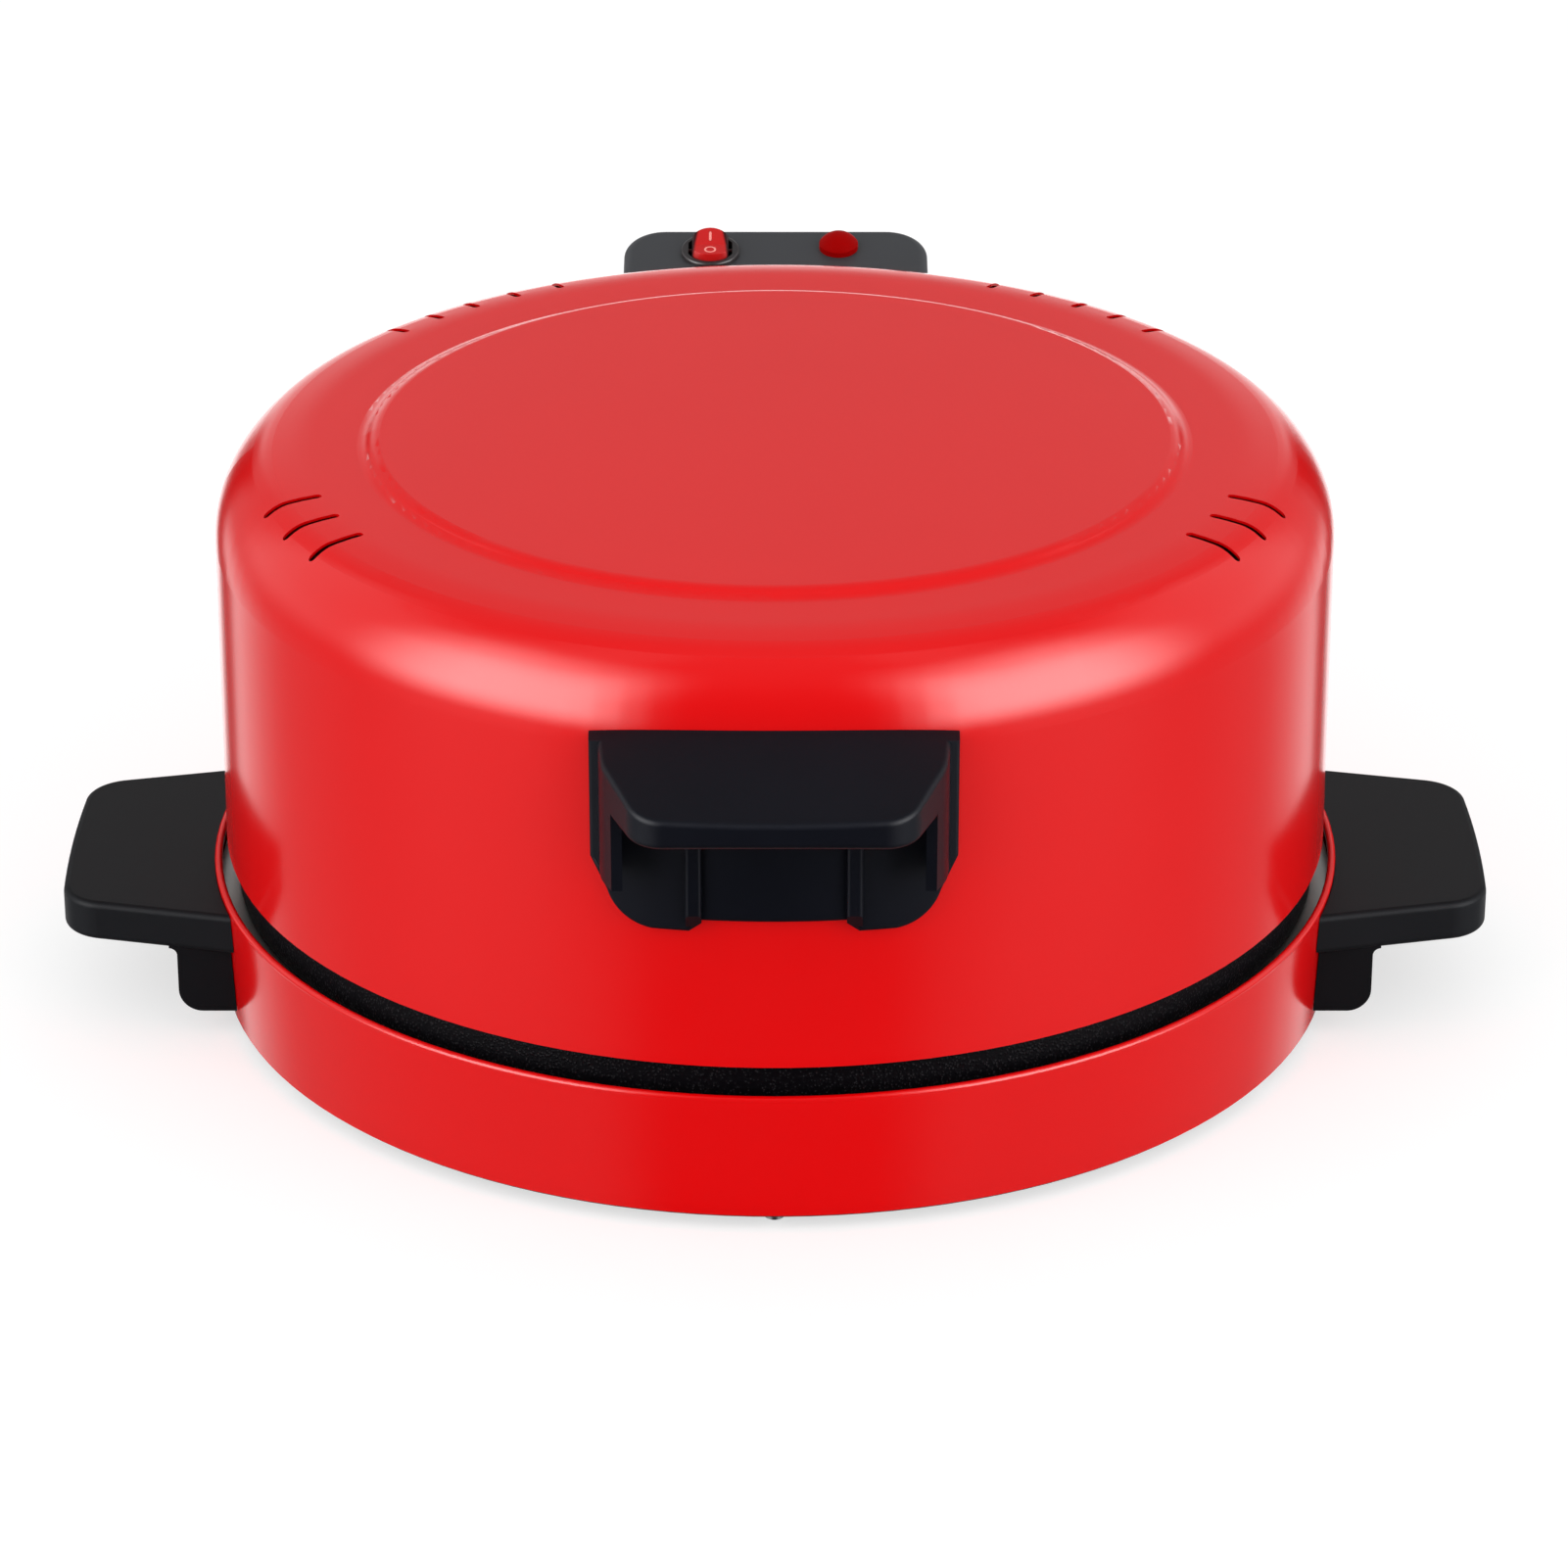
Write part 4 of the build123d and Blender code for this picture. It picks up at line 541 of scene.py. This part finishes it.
@dataclass
class Studio:
    """Floor, soft light and camera of the photograph's kind.

    Lengths are metres, or millimetres where a name says so, and angles are degrees. Gloss surfaces
    mirror the patches, where level 1 is white. Everything else is lit by the fill, the floor and the
    two lamps.
    """

    floor_radius: float = 9.0
    floor_corners: int = 96
    floor_bounce: Colour = (0.80, 0.80, 0.80)
    floor_shade: Colour = (0.45, 0.45, 0.45)
    floor_glow: float = 0.62
    lens_mm: float = 133.38
    sensor_mm: float = 36.0
    view_reach: float = 60.0
    camera_place: Vector3 = (0.0034, -2.0169, 1.0251)
    camera_pitch: float = 25.206
    fill: float = 0.83
    panel_power: float = 11.3
    panel_size: float = 1.6
    panel_place: Vector3 = (1.5, -1.15, 1.05)
    panel_aim_height: float = 0.1
    room_level: float = 0.36
    front_panel: Patch = Patch(9.8, (14, 42), (62, 98), (-16, 9), (24, 64))
    front_apron: Patch = Patch(0.45, (36, 52), (64, 96), (-29, -22))
    side_wing: Patch = Patch(0.7, (85, 100), (125, 140), (-12, 8), (38, 58))
    back_level: float = 1.2
    back_floor: Patch = Patch(1.0, side_rise=(116, 160), height_fall=(-15, -3))
    back_wall: Patch = Patch(1.0, side_rise=(168, 175), height_fall=(3, 12))
    back_glow: Patch = Patch(0.75, (155, 163), (171, 178), height_fall=(2, 27))
    back_middle: Patch = Patch(0.5, side_rise=(170, 178), height_fall=(3, 12))
    dark_strip: Patch = Patch(0.96, (145, 151), (157, 165), height_fall=(5, 14))
    dark_front: Patch = Patch(0.97, side_fall=(20, 40), height_fall=(20, 80))

    def direction(self, board: NodeBoard) -> Tuple[Signal, Signal]:
        """Give where a ray goes.

        Args:
            board: The world's board.

        Returns:
            Degrees from the front (-Y) to either side, and degrees above the horizon.
        """
        x, y, z = board.split(board.node("ShaderNodeTexCoord", output="Generated"))
        nearly_one = 0.9999
        sine = z.at_most(nearly_one).at_least(-nearly_one)
        side = board.node("ShaderNodeMath", {"operation": "ARCTAN2"}, {0: abs(x), 1: -y})
        height = board.node("ShaderNodeMath", {"operation": "ARCSINE"}, {0: sine})
        return side * math.degrees(1), height * math.degrees(1)

    def room(self, board: NodeBoard) -> Signal:
        """Brightness of the studio that gloss surfaces mirror.

        In front, to the left and right, stand two soft panels, each before a dim apron that reaches
        lower. A weaker wing stands beside the object. Behind it the floor and the low wall are lit, with
        a glow on either side of a brighter middle. A dark strip on either side draws the object's edges,
        and the front, where the camera stands, is nearly unlit.

        Args:
            board: The world's board.

        Returns:
            Brightness by direction, 1 being white.
        """
        towards = self.direction(board)
        front = self.front_panel.towards(*towards) + self.front_apron.towards(*towards)
        back = self.back_floor.towards(*towards).at_least(self.back_wall.towards(*towards))
        back = back.at_least(self.back_glow.towards(*towards)) + self.back_middle.towards(*towards)
        light = self.room_level + front + self.side_wing.towards(*towards) + back * self.back_level
        dark_strip = self.dark_strip.towards(*towards)
        dark_front = self.dark_front.towards(*towards)
        return light * (1 - dark_strip) * (1 - dark_front)

    def build_world(self) -> None:
        """White for the camera, the studio for gloss, and an even fill for everything else."""
        world = bpy.data.worlds.new("studio")
        world.use_nodes = True
        board = NodeBoard(world.node_tree)
        mirrored = board.ray("Is Glossy Ray")
        shown = (board.ray("Is Camera Ray") + board.ray("Is Transmission Ray")).at_most(1.0)
        level = self.fill * (1 - mirrored) + self.room(board) * mirrored
        strength = level * (1 - shown) + shown
        light = board.node("ShaderNodeBackground", None, {"Color": WHITE, "Strength": strength})
        board.node("ShaderNodeOutputWorld", None, {0: light})
        bpy.context.scene.world = world

    def floor_material(self) -> bpy.types.Material:
        """Pale for the camera, a plain bounce for other rays, and open for mirrored ones."""
        made = bpy.data.materials.new("pale floor")
        made.use_nodes = True
        board = NodeBoard(made.node_tree)
        bounce = board.node("ShaderNodeBsdfDiffuse", None, {"Color": self.floor_bounce})
        shade = board.node("ShaderNodeBsdfDiffuse", None, {"Color": self.floor_shade})
        glow = board.node("ShaderNodeEmission", None, {"Color": WHITE, "Strength": self.floor_glow})
        pale = board.node("ShaderNodeAddShader", None, {0: shade, 1: glow})
        open_way = board.node("ShaderNodeBsdfTransparent")
        by_camera = {0: board.ray("Is Camera Ray"), 1: bounce, 2: pale}
        seen = board.node("ShaderNodeMixShader", None, by_camera)
        by_gloss = {0: board.ray("Is Glossy Ray"), 1: seen, 2: open_way}
        mixed = board.node("ShaderNodeMixShader", None, by_gloss)
        board.node("ShaderNodeOutputMaterial", None, {0: mixed})
        return made

    def build_floor(self) -> None:
        """A pale round floor that keeps the object's shadow and lets mirrored rays see the studio."""
        around = turns(self.floor_corners)
        points = np.stack([np.cos(around), np.sin(around), 0 * around], 1) * self.floor_radius
        mesh = bpy.data.meshes.new("floor")
        mesh.from_pydata(points.tolist(), [], [tuple(range(len(points)))])
        mesh.materials.append(self.floor_material())
        floor = bpy.data.objects.new("floor", mesh)
        bpy.context.scene.collection.objects.link(floor)

    def build_panels(self) -> None:
        """Two large soft lamps above, left and right, that gloss surfaces don't mirror."""
        x, y, z = self.panel_place
        for side in (-1, 1):
            lamp = bpy.data.lights.new("panel", "AREA")
            lamp.shape = "SQUARE"
            lamp.size = self.panel_size
            lamp.energy = self.panel_power
            holder = bpy.data.objects.new("panel", lamp)
            holder.location = (side * x, y, z)
            aim_x, aim_y, aim_z = -side * x, -y, self.panel_aim_height - z
            tilt = math.atan2(math.hypot(aim_x, aim_y), -aim_z)
            holder.rotation_euler = (tilt, 0.0, math.atan2(aim_y, aim_x) - math.pi / 2)
            holder.visible_glossy = False
            bpy.context.scene.collection.objects.link(holder)

    def build_camera(self) -> None:
        """The camera at the photograph's place."""
        data = bpy.data.cameras.new("camera")
        data.lens = self.lens_mm
        data.sensor_width = self.sensor_mm
        data.sensor_fit = "HORIZONTAL"
        data.clip_end = self.view_reach
        camera = bpy.data.objects.new("camera", data)
        camera.location = self.camera_place
        camera.rotation_euler = (math.radians(90 - self.camera_pitch), 0.0, 0.0)
        bpy.context.scene.collection.objects.link(camera)
        bpy.context.scene.camera = camera

    def build(self) -> None:
        """Set up the whole studio."""
        self.build_world()
        self.build_floor()
        self.build_panels()
        self.build_camera()
        bpy.context.scene.view_settings.view_transform = "Standard"


# Pieces


def turns(count: int) -> np.ndarray:
    """Equal steps of one turn round a circle, in radians from 0."""
    return np.linspace(0.0, 2.0 * math.pi, count, endpoint=False)


def tilted(points: np.ndarray, degrees: float, shift: Vector3) -> np.ndarray:
    """Turn points about the X axis, then shift them.

    Args:
        points: Points in millimetres, in any grid.
        degrees: The turn, by the right hand about +X.
        shift: The shift in millimetres.

    Returns:
        The moved points.
    """
    cosine, sine = math.cos(math.radians(degrees)), math.sin(math.radians(degrees))
    turn = np.array([[1.0, 0.0, 0.0], [0.0, cosine, -sine], [0.0, sine, cosine]])
    return points @ turn.T + np.array(shift)


def dress(piece: bpy.types.Object, finish: Finish) -> None:
    """Give every face of a piece one finish.

    Args:
        piece: A mesh object.
        finish: Its finish.
    """
    material = finish.material()
    if not piece.material_slots:
        piece.data.materials.append(material)
    for slot in piece.material_slots:
        slot.material = material


def add_piece(name: str, rows: np.ndarray, body: str, finish: Finish, looped: bool = False) -> None:
    """Make a piece from rows of points that each run once round it, and dress it.

    Args:
        name: The piece's name.
        rows: Points in metres, by row and place in the row, with the outside on the left.
        body: The body that it rides on.
        finish: Its finish.
        looped: Whether the last row joins the first; otherwise a middle point closes each end.
    """
    count, around = rows.shape[:2]
    index = np.arange(count * around).reshape(count, around)
    lower = index if looped else index[:-1]
    upper = np.roll(index, -1, axis=0) if looped else index[1:]
    quads = np.stack([lower, np.roll(lower, -1, 1), np.roll(upper, -1, 1), upper], -1).reshape(-1, 4)
    points = rows.reshape(-1, 3)
    faces = quads.tolist()
    if not looped:
        points = np.vstack([points, rows[0].mean(0), rows[-1].mean(0)])
        first, last = len(points) - 2, len(points) - 1
        start, end = index[0], index[-1]
        faces += np.stack([np.roll(start, -1), start, np.full(around, first)], -1).tolist()
        faces += np.stack([end, np.roll(end, -1), np.full(around, last)], -1).tolist()
    mesh = bpy.data.meshes.new(name)
    mesh.from_pydata(points.tolist(), [], faces)
    mesh.shade_smooth()
    made = bpy.data.objects.new(name, mesh)
    bpy.context.scene.collection.objects.link(made)
    dress(made, finish)
    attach(made, body)
    LOG.info("made %s", name)


@dataclass
class RockerMarks:
    """The pale inlaid marks, a bar and a ring, on the two facets of the rocker, in mm and degrees."""

    pivot: Vector3 = (-26.8, 230.1417, 208.9516)
    rest_turn: float = 24.0
    facet_turn: float = 14.0
    valley: float = 3.6
    offset: float = 3.9
    bar_half_width: float = 0.53
    bar_half_length: float = 2.18
    bar_power: int = 5
    bar_top_share: float = 0.92
    bar_points: int = 48
    ring_middle: float = 2.05
    ring_half_width: float = 0.43
    ring_power: float = 0.4
    ring_points: int = 64
    section_points: int = 12
    depth: float = 0.28
    proud: float = 0.03

    def on_facet(self, points: np.ndarray, side: int) -> np.ndarray:
        """Carry points from a facet's own plane to the oven, in metres.

        Args:
            points: Points in millimetres, with Z square to the facet and 0 on it.
            side: 1 for the far facet, -1 for the near one.

        Returns:
            The same points on the rocker at rest.
        """
        lift = self.valley + self.offset * math.tan(math.radians(self.facet_turn))
        local = tilted(points, side * self.facet_turn, (0.0, side * self.offset, lift))
        return tilted(local, self.rest_turn, self.pivot) * MM

    def bar(self) -> np.ndarray:
        """Rows of the bar: a rounded oblong, (|x|/a)^5 + (|y|/b)^5 = 1, whose top edge shrinks inwards."""
        cosine, sine = np.cos(turns(self.bar_points)), np.sin(turns(self.bar_points))
        across = np.abs(cosine / self.bar_half_width) ** self.bar_power
        along = np.abs(sine / self.bar_half_length) ** self.bar_power
        reach = (across + along) ** (-1 / self.bar_power)
        outline = np.stack([reach * cosine, reach * sine], -1)
        levels = np.array([-self.depth, 0.0, self.proud])
        shares = np.array([1.0, 1.0, self.bar_top_share])
        flat = outline[None] * shares[:, None, None]
        heights = np.broadcast_to(levels[:, None, None], (*flat.shape[:2], 1))
        return np.concatenate([flat, heights], -1)

    def ring(self) -> np.ndarray:
        """Rows of the ring: a flattened oval, sign(t) |t|^0.4 of cosine and sine, carried round a circle."""
        around, section = turns(self.ring_points), turns(self.section_points)
        across = np.sign(np.cos(section)) * np.abs(np.cos(section)) ** self.ring_power
        upright = np.sign(np.sin(section)) * np.abs(np.sin(section)) ** self.ring_power
        middle = (self.proud - self.depth) / 2
        half = (self.proud + self.depth) / 2
        radius = self.ring_middle + self.ring_half_width * across[:, None]
        level = np.broadcast_to(middle + half * upright[:, None], (len(section), len(around)))
        return np.stack([radius * np.cos(around), radius * np.sin(around), level], -1)

    def build(self) -> None:
        """Make both marks on the rocker."""
        add_piece("on_mark", self.on_facet(self.bar(), 1), "rocker", MARK_PAINT)
        add_piece("off_mark", self.on_facet(self.ring(), -1), "rocker", MARK_PAINT, looped=True)


def dress_nodes(frame: Dict[str, Any]) -> None:
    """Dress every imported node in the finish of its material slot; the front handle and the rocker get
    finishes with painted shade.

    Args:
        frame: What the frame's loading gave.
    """
    # The front handle's finish is a painted-shade copy of the black moulding; the rocker's has painted shade
    # on its flanks.
    painted_shade_finishes = {"front_handle": SHADED_MOULDING, "switch_rocker": ROCKER_RED}
    for row in frame["record"]["subparts"]:
        dress(frame["nodes"][row["node"]], painted_shade_finishes.get(row["node"], Skin[row["material_slot"]].value))
        LOG.info("dressed %s", row["node"])


def main() -> None:
    """Load the frame, dress it, add the fine pieces and set up the studio."""
    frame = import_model()
    Studio().build()
    dress_nodes(frame)
    RockerMarks().build()


if __name__ == "__main__":
    main()
